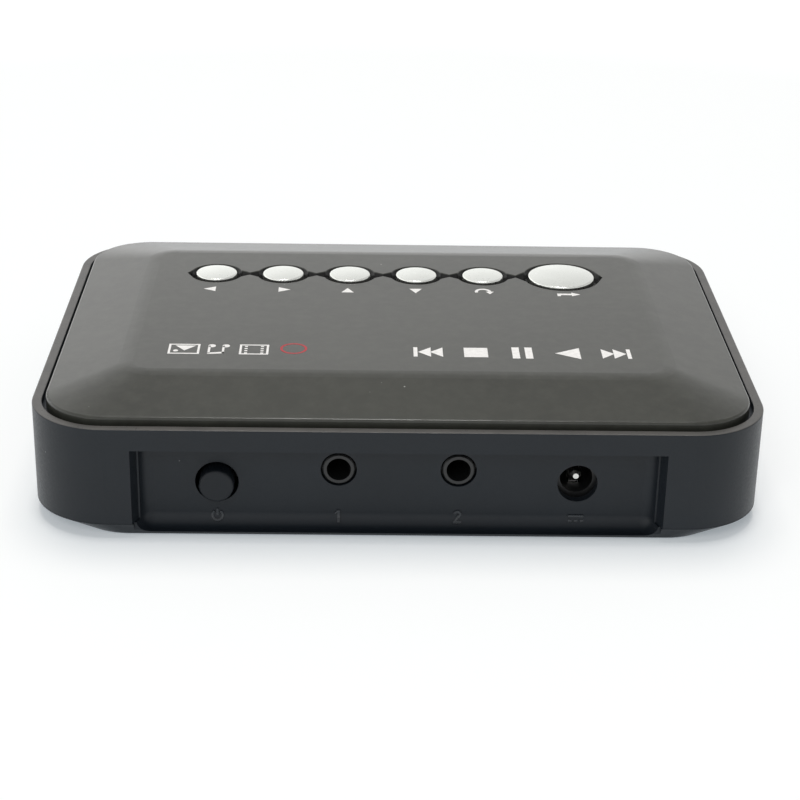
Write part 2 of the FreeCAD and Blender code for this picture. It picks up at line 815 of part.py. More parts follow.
def header_plug():
    """Pin strip under the key board."""
    bottom = key_board_z - header_plug_height
    half = header_pin_size / 2
    pin_end = bottom - header_pin_length
    pins = [centred_box(x, 2 * half, header_y - half, header_y + half, pin_end, bottom + half)
            for x in header_pin_places()]
    return fuse([header_strip(bottom, key_board_z)] + pins)


# ---------------------------------------------------------------- keys
def key_cap(x, radius):
    """Domed cap with a retaining flange, hollow below, with a centre post that meets the switch."""
    side_top = plateau_z + key_stand
    dome_top = side_top + key_dome * radius / small_key_radius
    edge = key_edge_round
    rim = Vector(radius - edge, 0, side_top + edge / 2)
    shoulder = Vector(radius - edge / 4, 0, side_top + edge / 5)
    side = Vector(radius, 0, side_top - edge / 2)
    crown = Vector(0, 0, dome_top)
    middle = Vector(rim.x / 2, 0, rim.z + (dome_top - rim.z) * 0.75)
    flange, hollow_top, hollow = radius + key_flange, plateau_z - key_top_wall, radius - key_wall
    low = [Vector(0, 0, flange_bottom_z), Vector(tact_actuator_radius, 0, flange_bottom_z),
           Vector(tact_actuator_radius, 0, hollow_top), Vector(hollow, 0, hollow_top),
           Vector(hollow, 0, flange_bottom_z), Vector(flange, 0, flange_bottom_z),
           Vector(flange, 0, flange_top_z), Vector(radius, 0, flange_top_z), side]
    edges = [Part.Arc(crown, middle, rim).toShape(), Part.Arc(rim, shoulder, side).toShape()]
    edges += [Part.LineSegment(a, b).toShape() for a, b in zip(low[:-1], low[1:])]
    edges.append(Part.LineSegment(low[0], crown).toShape())
    face = Part.Face(Part.Wire(Part.__sortEdges__(edges)))
    cap = face.revolve(Vector(0, 0, 0), Vector(0, 0, 1), 360)
    cap.translate(Vector(x, key_row_y, 0))
    return cap


def tact_floor_z():
    """Bottom of the actuator's bore in a key switch."""
    return key_board_top + tact_height - tact_bore_depth


def tact_leads(x):
    """Two flat strips that show as four leads of one key switch."""
    reach = tact_size / 2 + tact_lead_reach
    top = key_board_top + tact_lead_thickness
    return [centred_box(x + sx * tact_lead_pitch / 2, tact_lead_width, key_row_y - reach, key_row_y + reach,
                        key_board_top, top) for sx in (-1, 1)]


def tact_switches():
    """Six key switches: square base with chamfered corners, bored for the actuator, on four leads."""
    switches = []
    half = tact_size / 2
    top = key_board_top + tact_height
    for name, x, radius in key_places:
        base = box(x - half, x + half, key_row_y - half, key_row_y + half, key_board_top, top)
        base = base.makeChamfer(tact_corner_cut, [e for e in base.Edges if e.BoundBox.ZLength > 1])
        bore = post(x, key_row_y, tact_floor_z(), top + 1, tact_actuator_radius + tact_bore_clearance)
        switches.append(fuse([base] + tact_leads(x)).cut(bore))
    return Part.makeCompound(switches)


def tact_actuator(x):
    """Plunger of a key switch, up to the underside of its cap."""
    bottom = tact_floor_z() + key_travel + tact_rest_gap
    height = flange_bottom_z - bottom
    edge = tact_edge
    profile = [(0, 0), (tact_actuator_radius - edge, 0), (tact_actuator_radius, edge),
               (tact_actuator_radius, height), (0, height)]
    return turned(profile, x, key_row_y, bottom)


# ---------------------------------------------------------------- rear connectors
def phone_jack(x):
    """Moulded phone jack: body, round nose through the panel, bore and contact slots."""
    back, front = jack_back_y, jack_front_y
    roof = jack_z + jack_body_width / 2 - jack_roof_drop
    body = centred_box(x, jack_body_width, back, front, board_top, roof)
    body = round_edges(body, jack_edge_round, lambda e: e.BoundBox.YLength > 1 and e.BoundBox.ZMin > jack_z)
    nose = rod(x, jack_z, front - jack_edge_round, panel_y, jack_nose_radius)
    nose = nose.makeChamfer(jack_nose_edge, [e for e in nose.Edges if e.BoundBox.YMin > panel_y - 0.01])
    jack = fuse([body, nose])
    jack = jack.cut(rod(x, jack_z, panel_y - jack_bore_depth, panel_y + 1, jack_bore_radius))
    roof_start, cheek_start = back + jack_slot_start, back + jack_cheek_start
    half = jack_slot_width / 2
    roof_end, cheek_end = roof_start + jack_slot_length, cheek_start + jack_cheek_length
    slots = [centred_box(x, jack_slot_width, roof_start, roof_end, jack_z, roof + 1),
             centred_box(x, jack_body_width + 2, cheek_start, cheek_end, jack_z - half, jack_z + half)]
    return jack.cut(Part.makeCompound(slots))


def roof_contact(x):
    """Leaf contact in the roof slot, with a heel up to the roof."""
    start = jack_back_y + jack_slot_start
    low = jack_z + jack_bore_radius + contact_gap
    leaf = centred_box(x, contact_width, start, start + jack_slot_length - contact_width / 2, low,
                       low + contact_thickness)
    heel = centred_box(x, contact_width, start, start + contact_thickness, low,
                       jack_z + jack_body_width / 2 - jack_roof_drop)
    return fuse([leaf, heel])


def cheek_contact(x, sx):
    """Blade contact through one cheek of a jack, with a leg down to the board."""
    inner = x + sx * (jack_bore_radius + contact_gap)
    outer = x + sx * (jack_body_width / 2 + contact_thickness)
    leg_in = x + sx * jack_body_width / 2
    start = jack_back_y + jack_cheek_start + contact_fit
    end = start + jack_cheek_length - 2 * contact_fit
    half = contact_thickness / 2
    blade = box(min(inner, outer), max(inner, outer), start, end, jack_z - half, jack_z + half)
    leg = box(min(leg_in, outer), max(leg_in, outer), start, end, board_top, jack_z)
    return fuse([blade, leg])


def jack_contacts(x):
    """Three contacts of a jack: one through the roof slot and two through the cheeks."""
    return Part.makeCompound([roof_contact(x), cheek_contact(x, -1), cheek_contact(x, 1)])


def dc_inlet():
    """Power inlet: D-shaped moulded barrel on a square heel, bored for the plug."""
    back, front = inlet_back_y, inlet_front_y
    outer = inlet_bore_radius + inlet_wall
    barrel = rod(inlet_x, inlet_z, back, front, outer)
    heel = centred_box(inlet_x, 2 * outer, back, front, board_top, inlet_z)
    block_end, slot_top = back + inlet_block_length, inlet_z - inlet_bore_radius + inlet_slot_rise
    rear_block = centred_box(inlet_x, 2 * outer, back, block_end, board_top, inlet_z + outer)
    inlet = fuse([barrel, heel, rear_block])
    slot = centred_box(inlet_x, inlet_slot_width, front - inlet_slot_end, front - inlet_slot_start,
                       board_top - 1, slot_top)
    bore = rod(inlet_x, inlet_z, front - inlet_bore_depth, front + 1, inlet_bore_radius)
    pin_hole = rod(inlet_x, inlet_z, back - 1, front - inlet_bore_depth + 1, inlet_pin_radius + pin_fit)
    return inlet.cut(bore).cut(slot).cut(pin_hole)


def dc_inlet_pin():
    """Centre pin with a round tip and a riveted heel at the rear of the inlet."""
    back, tip_y = inlet_back_y, inlet_front_y - pin_tip_gap
    r, heel, heel_y = inlet_pin_radius, pin_heel_radius, inlet_back_y - pin_heel_thickness
    points = [(0, heel_y), (heel, heel_y), (heel, back), (r, back), (r, tip_y - pin_tip_taper),
              (r - pin_tip_taper, tip_y), (0, tip_y)]
    face = Part.Face(Part.makePolygon([Vector(a, b, 0) for a, b in points + points[:1]]))
    pin = face.revolve(Vector(0, 0, 0), Vector(0, 1, 0), 360)
    pin.translate(Vector(inlet_x, 0, inlet_z))
    return pin


def dc_inlet_leaf():
    """Sprung sleeve contact in the floor slot of the inlet."""
    back = inlet_front_y - inlet_slot_end + leaf_end_gap
    front = inlet_front_y - inlet_slot_start - leaf_end_gap
    top = inlet_z - inlet_bore_radius
    arm = centred_box(inlet_x, leaf_width, back, front, top, top + leaf_thickness)
    leg = centred_box(inlet_x, leaf_width, back, back + leaf_thickness, board_top, top + leaf_thickness)
    return fuse([arm, leg])


def cap_back_y():
    return panel_y + power_cap_stand - power_cap_length


def switch_back_y():
    """Rear of the mains switch case, set so that the pressed cap still clears the case."""
    return cap_back_y() - power_travel - power_cap_run - switch_case_length


def power_button():
    """Round push cap with a softened face, socketed on the stem of the switch."""
    front, back = panel_y + power_cap_stand, cap_back_y()
    half = switch_stem_size / 2
    cap = rod(power_x, power_z, back, front, power_cap_radius)
    cap = round_edges(cap, power_cap_round, lambda e: e.BoundBox.YMin > front - 0.01)
    socket = centred_box(power_x, 2 * half, back - 1, back + stem_socket_depth, power_z - half,
                         power_z + half)
    return cap.cut(socket)


def switch_leads():
    """Six leads of the mains switch, in two rows of three."""
    first = switch_back_y() + switch_bore_start
    top = power_z - switch_case_size / 2 + switch_edge_round
    leads = []
    for i in range(3):
        start = first + switch_lead_pitch * i
        leads += [centred_box(power_x + sx * switch_lead_spread / 2, switch_lead_width, start,
                              start + switch_lead_thickness, board_top, top) for sx in (-1, 1)]
    return leads


def power_switch_case():
    """Push switch: square case with a bored guide and six leads in two rows."""
    back = switch_back_y()
    front = back + switch_case_length
    half = switch_case_size / 2
    case = box(power_x - half, power_x + half, back, front, power_z - half, power_z + half)
    case = round_edges(case, switch_edge_round, lambda e: e.BoundBox.YLength > 1)
    channel = switch_stem_size / 2 + switch_bore_clearance
    bore = centred_box(power_x, 2 * channel, back + switch_bore_start, front + 1, power_z - channel,
                       power_z + channel)
    return fuse([case] + switch_leads()).cut(bore)


def power_switch_stem():
    """Square plunger with the collar that the return spring pushes on."""
    back = switch_back_y() + switch_bore_start + power_travel + switch_collar_thickness
    half = switch_stem_size / 2
    front = cap_back_y()
    stem = centred_box(power_x, 2 * half, back, front + stem_socket_depth, power_z - half, power_z + half)
    collar = rod(power_x, power_z, front - switch_collar_thickness, front, switch_collar_radius)
    return fuse([stem, collar])


def power_switch_spring():
    """Return spring between the case and the collar, swept through short straight runs."""
    wire = switch_spring_wire / 2
    start = switch_back_y() + switch_case_length + wire + 0.05
    rise = cap_back_y() - switch_collar_thickness - wire - 0.05 - start
    coil_radius = switch_stem_size / 2 * math.sqrt(2) + wire + 0.12
    sections = []
    steps = switch_spring_turns * spring_steps_per_turn
    for i in range(steps + 1):
        angle = 2 * math.pi * i / spring_steps_per_turn
        corners = []
        for k in range(7):
            around = math.pi * k / 3
            reach = coil_radius + wire * math.cos(around)
            corners.append(Vector(power_x + reach * math.cos(angle),
                                  start + rise * i / steps + wire * math.sin(around),
                                  power_z + reach * math.sin(angle)))
        sections.append(Part.makePolygon(corners))
    return loft(*sections)


# ---------------------------------------------------------------- front and end connectors
def socket_sleeve(width, height, length):
    """Folded sheet-metal sleeve, open at its mouth (y = 0) and closed by a plate at its rear."""
    outer = centred_box(0, width, 0, length, 0, height)
    outer = round_edges(outer, sleeve_round, lambda e: e.BoundBox.YLength > 1)
    inner = centred_box(0, width - 2 * sheet_metal, -1, length - sheet_metal, sheet_metal,
                        height - sheet_metal)
    return outer.cut(inner)


def front_wall_place(shape, x, step_back=0):
    """Put a connector whose mouth is at y = 0 behind its opening in the front wall."""
    shape.translate(Vector(x, port_stop + step_back - half_depth, board_top))
    return shape


def end_wall_place(shape):
    """Turn a connector whose mouth is at y = 0 so that it opens through the left end wall."""
    shape.rotate(Vector(0, 0, 0), Vector(0, 0, 1), -90)
    shape.translate(Vector(port_stop - half_length, hdmi_y, board_top))
    return shape


def usb_shell():
    """Host socket sleeve with two spring slots in its roof."""
    shell = socket_sleeve(usb_width, usb_height, usb_length)
    slots = [centred_box(sx * usb_width / 4, usb_slot_width, usb_slot_start, usb_slot_end, usb_height - 1,
                         usb_height + 1) for sx in (-1, 1)]
    return front_wall_place(shell.cut(Part.makeCompound(slots)), usb_x)


def usb_tongue():
    """Contact tongue and rear block inside the host socket."""
    roof = usb_height - sheet_metal
    block_start = usb_length - usb_block_length
    inner_width = usb_width - 2 * sheet_metal
    block = centred_box(0, inner_width, block_start, usb_length - sheet_metal, sheet_metal, roof)
    top = roof - usb_tongue_top
    blade = centred_box(0, usb_tongue_width, usb_tongue_step, block_start + sheet_metal,
                        top - usb_tongue_thickness, top)
    return front_wall_place(fuse([block, blade]), usb_x)


def hdmi_section(shrink):
    """Outline of the video socket, with its two lower corners cut, drawn in by shrink."""
    half, low, high = hdmi_width / 2 - shrink, shrink, hdmi_height - shrink
    rise, run = low + hdmi_corner_rise, half - hdmi_corner_run
    points = [(-half, high), (half, high), (half, rise), (run, low), (-run, low), (-half, rise)]
    return Part.makePolygon([Vector(a, 0, b) for a, b in points + points[:1]])


def hdmi_shell():
    """Video socket sleeve."""
    outer = Part.Face(hdmi_section(0)).extrude(Vector(0, hdmi_length, 0))
    inner = Part.Face(hdmi_section(sheet_metal)).extrude(Vector(0, hdmi_length - sheet_metal + 1, 0))
    inner.translate(Vector(0, -1, 0))
    return end_wall_place(outer.cut(inner))


def hdmi_tongue():
    """Contact tongue and rear block inside the video socket."""
    block_start = hdmi_length - sheet_metal - hdmi_block_length
    block = Part.Face(hdmi_section(sheet_metal)).extrude(Vector(0, hdmi_block_length, 0))
    block.translate(Vector(0, block_start, 0))
    low = hdmi_height / 2 - sheet_metal / 2
    blade = centred_box(0, hdmi_tongue_width, hdmi_tongue_step, block_start + sheet_metal, low,
                        low + hdmi_tongue_thickness)
    return end_wall_place(fuse([block, blade]))


def card_slot_base():
    """Moulded floor and side rails of the card reader, with a contact comb at the rear."""
    roof = card_height - sheet_metal
    floor = centred_box(0, card_width, 0, card_length, 0, card_floor)
    rail_x = (card_width - card_rail) / 2
    rails = [centred_box(x, card_rail, 0, card_length, 0, roof) for x in (-rail_x, rail_x)]
    comb = centred_box(0, card_width, card_length - card_comb, card_length, 0, roof)
    return front_wall_place(fuse([floor, comb] + rails), card_x, card_step_back)


def card_slot_cover():
    """Sheet-metal roof of the card reader with two pressed windows."""
    roof = centred_box(0, card_width, 0, card_length, card_height - sheet_metal, card_height)
    windows = [centred_box(sx * card_window_spread / 2, card_window_width, card_window_start, card_window_end,
                           card_height - 1, card_height + 1) for sx in (-1, 1)]
    return front_wall_place(roof.cut(Part.makeCompound(windows)), card_x, card_step_back)


def ir_window():
    """Tinted window in the front wall, with a flange behind the wall."""
    width, height = window_width - 2 * window_fit, window_height - 2 * window_fit
    low, high = window_z - height / 2, window_z + height / 2
    face_y = window_fit - half_depth
    inner_y = shell_wall - half_depth
    pane = centred_box(window_x, width, face_y, inner_y + window_edge, low, high)
    pane = round_edges(pane, window_edge, lambda e: e.BoundBox.YMax < face_y + 0.01)
    flange = centred_box(window_x, width + 2 * window_flange, inner_y + thread_fit / 2,
                         inner_y + window_flange_thickness, low - window_flange, high + window_flange)
    return fuse([pane, flange])


def ir_receiver():
    """Remote-control receiver: moulded block with a lens bulge, on three leads."""
    x = window_x - receiver_from_window
    back = -half_depth + shell_wall + behind_window + lamp_length + 1.2
    front = back - receiver_depth
    low, high = window_z - receiver_height / 2, window_z + receiver_height / 2
    body = centred_box(x, receiver_width, front, back, low, high)
    body = round_edges(body, 0.5, lambda e: e.BoundBox.ZLength > 1)
    lens = Part.makeSphere(receiver_lens_radius, Vector(x, front + lens_sink, window_z))
    middle = back - receiver_depth / 2
    leads = [centred_box(x + i * receiver_lead_pitch, lead_thickness, middle, middle + lead_thickness,
                         board_top, low + 0.1)
             for i in (-1, 0, 1)]
    return fuse([body, lens] + leads)


def status_leds():
    """Two lamps behind the window, each a domed round body on two leads."""
    dome_y = -half_depth + shell_wall + behind_window + 1.2
    back = dome_y + lamp_length + 0.4
    lamps = []
    for i in (0, 1):
        x = window_x + lamp_from_window + i * lamp_spacing
        body = rod(x, window_z, dome_y, back, lamp_radius)
        dome = Part.makeSphere(lamp_radius, Vector(x, dome_y, window_z))
        flange = rod(x, window_z, back - lamp_flange_thickness, back, lamp_flange_radius)
        lamp = fuse([body, dome, flange])
        lead_top = window_z - lamp_radius / 2
        leads = [centred_box(x + sx * lamp_lead_pitch / 2, lead_thickness, back - lead_thickness, back,
                             board_top, lead_top)
                 for sx in (-1, 1)]
        lamps.append(fuse([lamp] + leads))
    return Part.makeCompound(lamps)


# ---------------------------------------------------------------- parts on the main board
def at(share_x, share_y):
    """Point on the main board, as shares of its half length and of its half depth."""
    middle, half = (board_rear_y + board_front_y) / 2, (board_rear_y - board_front_y) / 2
    return share_x * board_half_x, middle + share_y * half


def flat_chip(place, size_x, size_y, height, pins):
    """Moulded chip whose leads come out at its left and right sides."""
    x, y = place
    body = centred_box(x, size_x, y - size_y / 2, y + size_y / 2, board_top + chip_stand, board_top + height)
    body = body.makeChamfer(chip_edge, [e for e in body.Edges if level(board_top + height)(e)])
    width = size_x + 2 * chip_lead_reach
    leads = []
    for i in range(pins):
        middle = y + (i / (pins - 1) - 0.5) * size_y * lead_row_share
        leads.append(centred_box(x, width, middle - chip_lead_width / 2, middle + chip_lead_width / 2,
                                 board_top, board_top + chip_lead_height))
    return fuse([body] + leads)


def processor_chip():
    """Processor package on a ring of solder balls."""
    half = processor_size / 2
    last = balls_per_side - 1
    body = box(processor_x - half, processor_x + half, processor_y - half, processor_y + half,
               board_top + ball_height, board_top + processor_height)
    body = body.makeChamfer(processor_edge, [e for e in body.Edges if level(board_top + processor_height)(e)])
    steps = [(i - last / 2) * ball_pitch for i in range(balls_per_side)]
    ring = [(x, y) for x in steps for y in steps if steps[-1] in (abs(x), abs(y))]
    balls = [post(processor_x + x, processor_y + y, board_top, board_top + ball_height, ball_radius)
             for x, y in ring]
    return fuse([body] + balls)


def heat_sink():
    """Extruded finned block on the processor."""
    bottom = board_top + processor_height
    pitch = sink_size / sink_fins
    top, rear_y = bottom + sink_height, sink_front_y + sink_size
    block = box(sink_left_x, sink_right_x, sink_front_y, rear_y, bottom, top)
    slots = [centred_box(sink_left_x + pitch * i, pitch * sink_slot_share, sink_front_y - 1, rear_y + 1,
                         bottom + sink_base, top + 1)
             for i in range(1, sink_fins)]
    return block.cut(Part.makeCompound(slots))


def memory_chips():
    """Two memory chips, one behind the other, to the right of the processor."""
    x = sink_right_x + memory_to_sink + memory_width / 2
    step = (memory_depth + memory_gap) / 2
    places = [(x, processor_y - step), (x, processor_y + step)]
    return Part.makeCompound([flat_chip(place, memory_width, memory_depth, memory_height, 9)
                              for place in places])


def flash_chip():
    x = sink_left_x - flash_to_sink - flash_width / 2
    return flat_chip((x, processor_y - flash_depth / 4), flash_width, flash_depth, memory_height, 10)


def can(place, radius, height):
    """One capacitor can with a rolled groove near its foot."""
    groove_top = can_groove_z + 2 * can_groove
    waist = radius - can_groove
    profile = [(0, 0), (radius, 0), (radius, can_groove_z), (waist, can_groove_z + can_groove),
               (radius, groove_top), (radius, height - can_groove), (waist, height), (0, height)]
    return turned(profile, place[0], place[1], board_top)


def electrolytic_capacitors():
    """Large can beside the power inlet and three small ones."""
    small_places = [at(-0.73, 0.36), at(0.755, 0.22), at(0.36, 0.83)]
    cans = [can(place, small_can_radius, small_can_height) for place in small_places]
    cans.append(can(at(-0.755, 0.69), large_can_radius, large_can_height))
    return Part.makeCompound(cans)


def inductor(x, y):
    """Drum core on a square base."""
    half = inductor_size / 2
    slope = inductor_flange + (inductor_drum_radius - inductor_core_radius) / 2
    r, core, high = inductor_drum_radius, inductor_core_radius, inductor_drum_height
    drum = [(0, 0), (r, 0), (r, inductor_flange), (core, slope), (core, high - slope),
            (r, high - inductor_flange), (r, high), (0, high)]
    base = centred_box(x, inductor_size, y - half, y + half, board_top, board_top + inductor_base)
    return fuse([base, turned(drum, x, y, board_top + inductor_base)])


def power_inductors():
    """Two inductors, one in front of the power inlet and one beside it."""
    front_y = inlet_back_y - inductor_to_inlet - inductor_size / 2
    return Part.makeCompound([inductor(inlet_x, front_y), inductor(inlet_x + inductor_step_x, inlet_back_y)])


def power_regulators():
    places = [at(-0.875, 0.3), at(0.74, 0.5), at(-0.7, 0.14)]
    return Part.makeCompound([flat_chip(place, regulator_width, regulator_depth, regulator_height, 4)
                              for place in places])


def crystal():
    y = sink_front_y - crystal_to_sink - crystal_width
    x = sink_right_x - crystal_round
    body = box(x, x + crystal_length, y, y + crystal_width, board_top, board_top + crystal_height)
    return round_edges(body, crystal_round, lambda e: e.BoundBox.ZLength > 1)


def audio_chip():
    """Sound chip between the two jacks."""
    return flat_chip((0, panel_y - audio_to_panel), audio_depth, audio_width, audio_height, 6)


def passive_row(x, y, count, upward):
    """Row of chip resistors or capacitors from x, y; upward rows run along +Y."""
    wide, deep = (passive_length, passive_width) if upward else (passive_width, passive_length)
    row = []
    for i in range(count):
        middle_x, middle_y = (x, y + i * passive_pitch) if upward else (x + i * passive_pitch, y)
        row.append(centred_box(middle_x, wide, middle_y - deep / 2, middle_y + deep / 2, board_top,
                               board_top + passive_height))
    return row


def chip_passives():
    """Rows of chip resistors and capacitors round the processor, power and video parts."""
    row_y = sink_front_y - passive_pitch
    pieces = passive_row(processor_x - 3.5 * passive_pitch, row_y, 5, False)
    pieces += passive_row(*at(0.61, 0.38), 4, False)
    pieces += passive_row(-board_screw_x, board_screw_rear_y + small_head_radius + passive_pitch / 2, 3, True)
    for side in (-1, 1):
        pieces += passive_row(*at(side * 0.79, -0.26), 4, True)
    return Part.makeCompound(pieces)


# ---------------------------------------------------------------- assembly
def build():
    pieces = (frame_shell, top_panel, bottom_cover, rubber_feet, case_screws, main_board, board_screws,
              key_board, key_board_screws, header_socket, header_plug, tact_switches, dc_inlet,
              dc_inlet_pin, dc_inlet_leaf, power_button, power_switch_case, power_switch_stem,
              power_switch_spring, usb_shell, usb_tongue, hdmi_shell, hdmi_tongue, card_slot_base,
              card_slot_cover, ir_window, ir_receiver, status_leds, processor_chip, heat_sink,
              memory_chips, flash_chip, electrolytic_capacitors, power_inductors, power_regulators,
              crystal, audio_chip, chip_passives)
    for piece in pieces:
        parts[piece.__name__] = piece()
    parts["component_jack"] = phone_jack(jack_x)
    parts["component_jack_contacts"] = jack_contacts(jack_x)
    parts["av_jack"] = phone_jack(-jack_x)
    parts["av_jack_contacts"] = jack_contacts(-jack_x)
    for name, x, radius in key_places:
        parts["button_" + name] = key_cap(x, radius)
        parts["plunger_" + name] = tact_actuator(x)


def save():
    os.makedirs("parts", exist_ok=True)
    for name, shape in parts.items():
        shape.exportStep("parts/" + name + ".step")


build()
save()
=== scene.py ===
"""Desktop media player: finishes, prints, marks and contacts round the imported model, with its stage.

Laid out as an add-on: each group of pieces has its own operator, and main() calls them in order.
All lengths in the sizes below are in millimetres and are turned to metres where a mesh is made.
"""
import json
import math

import bmesh
import bpy
from bpy.props import FloatProperty, FloatVectorProperty, IntProperty, PointerProperty
from mathutils import Matrix, Vector


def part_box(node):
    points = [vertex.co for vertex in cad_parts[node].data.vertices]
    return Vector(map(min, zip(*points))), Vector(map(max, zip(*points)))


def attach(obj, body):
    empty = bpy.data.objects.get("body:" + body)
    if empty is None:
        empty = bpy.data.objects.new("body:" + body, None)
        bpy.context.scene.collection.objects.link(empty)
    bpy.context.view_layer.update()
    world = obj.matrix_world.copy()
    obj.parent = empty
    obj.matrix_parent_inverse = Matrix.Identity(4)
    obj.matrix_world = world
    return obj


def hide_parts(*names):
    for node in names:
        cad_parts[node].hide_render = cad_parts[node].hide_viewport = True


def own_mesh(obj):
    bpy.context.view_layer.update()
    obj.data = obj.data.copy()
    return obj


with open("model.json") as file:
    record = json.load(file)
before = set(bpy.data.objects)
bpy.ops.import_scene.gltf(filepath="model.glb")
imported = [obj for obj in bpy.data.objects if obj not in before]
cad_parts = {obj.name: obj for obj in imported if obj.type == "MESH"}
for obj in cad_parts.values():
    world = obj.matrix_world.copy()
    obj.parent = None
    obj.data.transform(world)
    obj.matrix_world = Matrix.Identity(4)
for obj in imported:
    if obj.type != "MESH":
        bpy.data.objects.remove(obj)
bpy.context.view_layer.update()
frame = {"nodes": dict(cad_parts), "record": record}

bl_info = {
    "name": "Media Player Dressing",
    "version": (1, 0, 0),
    "blender": (4, 5, 0),
    "location": "3D View > Sidebar > Player",
    "description": "Finishes, prints and contacts of a flat desktop media player",
    "category": "Object",
}

MM = 0.001
nodes = frame["nodes"]
SLOTS = {part["node"]: part["material_slot"] for part in frame["record"]["subparts"]}

# Places on the lid, in millimetres. A sign is shifted along X and Y from its place behind the key.
SIGN_SHIFTS = {"right": (0.65, 0.0), "left": (-0.5, 0.0), "down": (0.3, 0.0), "up": (0.25, 0.0),
               "back": (0.3, 0.0), "enter": (-0.55, 0.8)}
TRANSPORT_START = (-33.6, 18.1)      # middle of the first sign of its row
MEDIA_START = (22.3, 17.85)
RING_CENTRE, RING_OUTER, RING_INNER = (16.2, 17.3), 2.1, 1.72
PRINT_SUNK = 0.01                    # how far a print reaches into the lid

# The connector panel, in millimetres: its foot sweeps outward to the sill, with the marks just above.
PANEL_SWEEP, SILL_Z = 2.0, 0.7
MARK_Z, MARK_SUNK = 2.3, 0.03

# Contact rows, in millimetres: step, and the size of one contact along X, Y and Z before any turn.
USB_CONTACTS = {"count": 4, "pitch": 2.2, "size": (1.1, 7.0, 0.12)}
VIDEO_CONTACTS = {"pitch": 1.0, "size": (0.45, 5.0, 0.1)}
CARD_CONTACTS = {"count": 9, "pitch": 2.5, "size": (1.2, 6.5, 0.12)}


def node_box(name):
    """Lowest and highest corner of a CAD node, in millimetres."""
    low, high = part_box(name)
    return Vector(low) / MM, Vector(high) / MM


def node_centre(name):
    low, high = node_box(name)
    return (low + high) / 2


PLATEAU_Z = node_box("top_panel")[1].z
RIM_Z = node_box("frame_shell")[1].z
RIM_SHEEN_DEPTH = 0.06                  # the rim's top is painted lighter this far down, a painted sheen

# Box round the key wells, where the lid is painted near black as painted shade: past the keys on each side,
# and from below the wells to just under the plateau.
WELL_END, WELL_SIDE, WELL_DEPTH, WELL_TOP = 4.0, 3.0, 3.0, 0.12
ENTER_LOW, ENTER_HIGH = node_box("button_enter")
WELL_SHADE_LOW = (ENTER_LOW.x - WELL_END, ENTER_LOW.y - WELL_SIDE, PLATEAU_Z - WELL_DEPTH)
WELL_SHADE_HIGH = (node_box("button_right")[1].x + WELL_END, ENTER_HIGH.y + WELL_SIDE, PLATEAU_Z - WELL_TOP)
FAR = 100.0                          # past the whole player


# ---------------------------------------------------------------- sizes and colours
class PlayerSizes(bpy.types.PropertyGroup):
    """Sizes of the prints and marks, in millimetres, and of the stage, in metres."""

    print_lift: FloatProperty(name="Print lift", description="Height of the ink above the lid", default=0.02)
    symbol_gap: FloatProperty(name="Symbol gap", description="Key centre to the middle of its symbol",
                              default=7.4)
    symbol_size: FloatProperty(name="Symbol size", description="Length of a key's symbol", default=2.0)
    transport_height: FloatProperty(name="Transport height", description="Height of the transport signs",
                                    default=4.4)
    transport_pitch: FloatProperty(name="Transport pitch", description="Step from sign to sign", default=7.2)
    media_height: FloatProperty(name="Media height", description="Height of the media signs", default=3.9)
    media_pitch: FloatProperty(name="Media pitch", description="Step from media sign to media sign",
                               default=5.4)
    mark_height: FloatProperty(name="Mark height", description="Height of the raised marks at the ports",
                               default=2.15)
    mark_lift: FloatProperty(name="Mark lift", description="Height of the raised marks above the panel",
                             default=0.2)
    video_contacts: IntProperty(name="Video contacts", description="Contacts in the video socket", default=19)
    floor_reach: FloatProperty(name="Floor reach", description="Half width of the floor", default=3.0,
                               unit="LENGTH")


class PlayerColours(bpy.types.PropertyGroup):
    """Base colours of the finishes, linear."""

    housing: FloatVectorProperty(name="Housing", subtype="COLOR", default=(0.0085, 0.0120, 0.0165),
                                 description="Moulded wall and floor cover")
    lid: FloatVectorProperty(name="Lid", subtype="COLOR", default=(0.037, 0.0385, 0.032),
                             description="Satin lacquer of the lid")
    keys: FloatVectorProperty(name="Keys", subtype="COLOR", default=(0.90, 0.915, 0.87),
                              description="Satin silver plating")
    ink: FloatVectorProperty(name="Ink", subtype="COLOR", default=(0.90, 0.90, 0.89),
                             description="White print")
    red_ink: FloatVectorProperty(name="Red ink", subtype="COLOR", default=(0.42, 0.035, 0.045),
                                 description="Red print")
    mask: FloatVectorProperty(name="Solder mask", subtype="COLOR", default=(0.012, 0.085, 0.035),
                              description="Green of the boards")
    floor: FloatVectorProperty(name="Floor", subtype="COLOR", default=(0.70, 0.70, 0.69),
                               description="Table top")


def sizes():
    return bpy.context.scene.player_sizes


def colours():
    return bpy.context.scene.player_colours


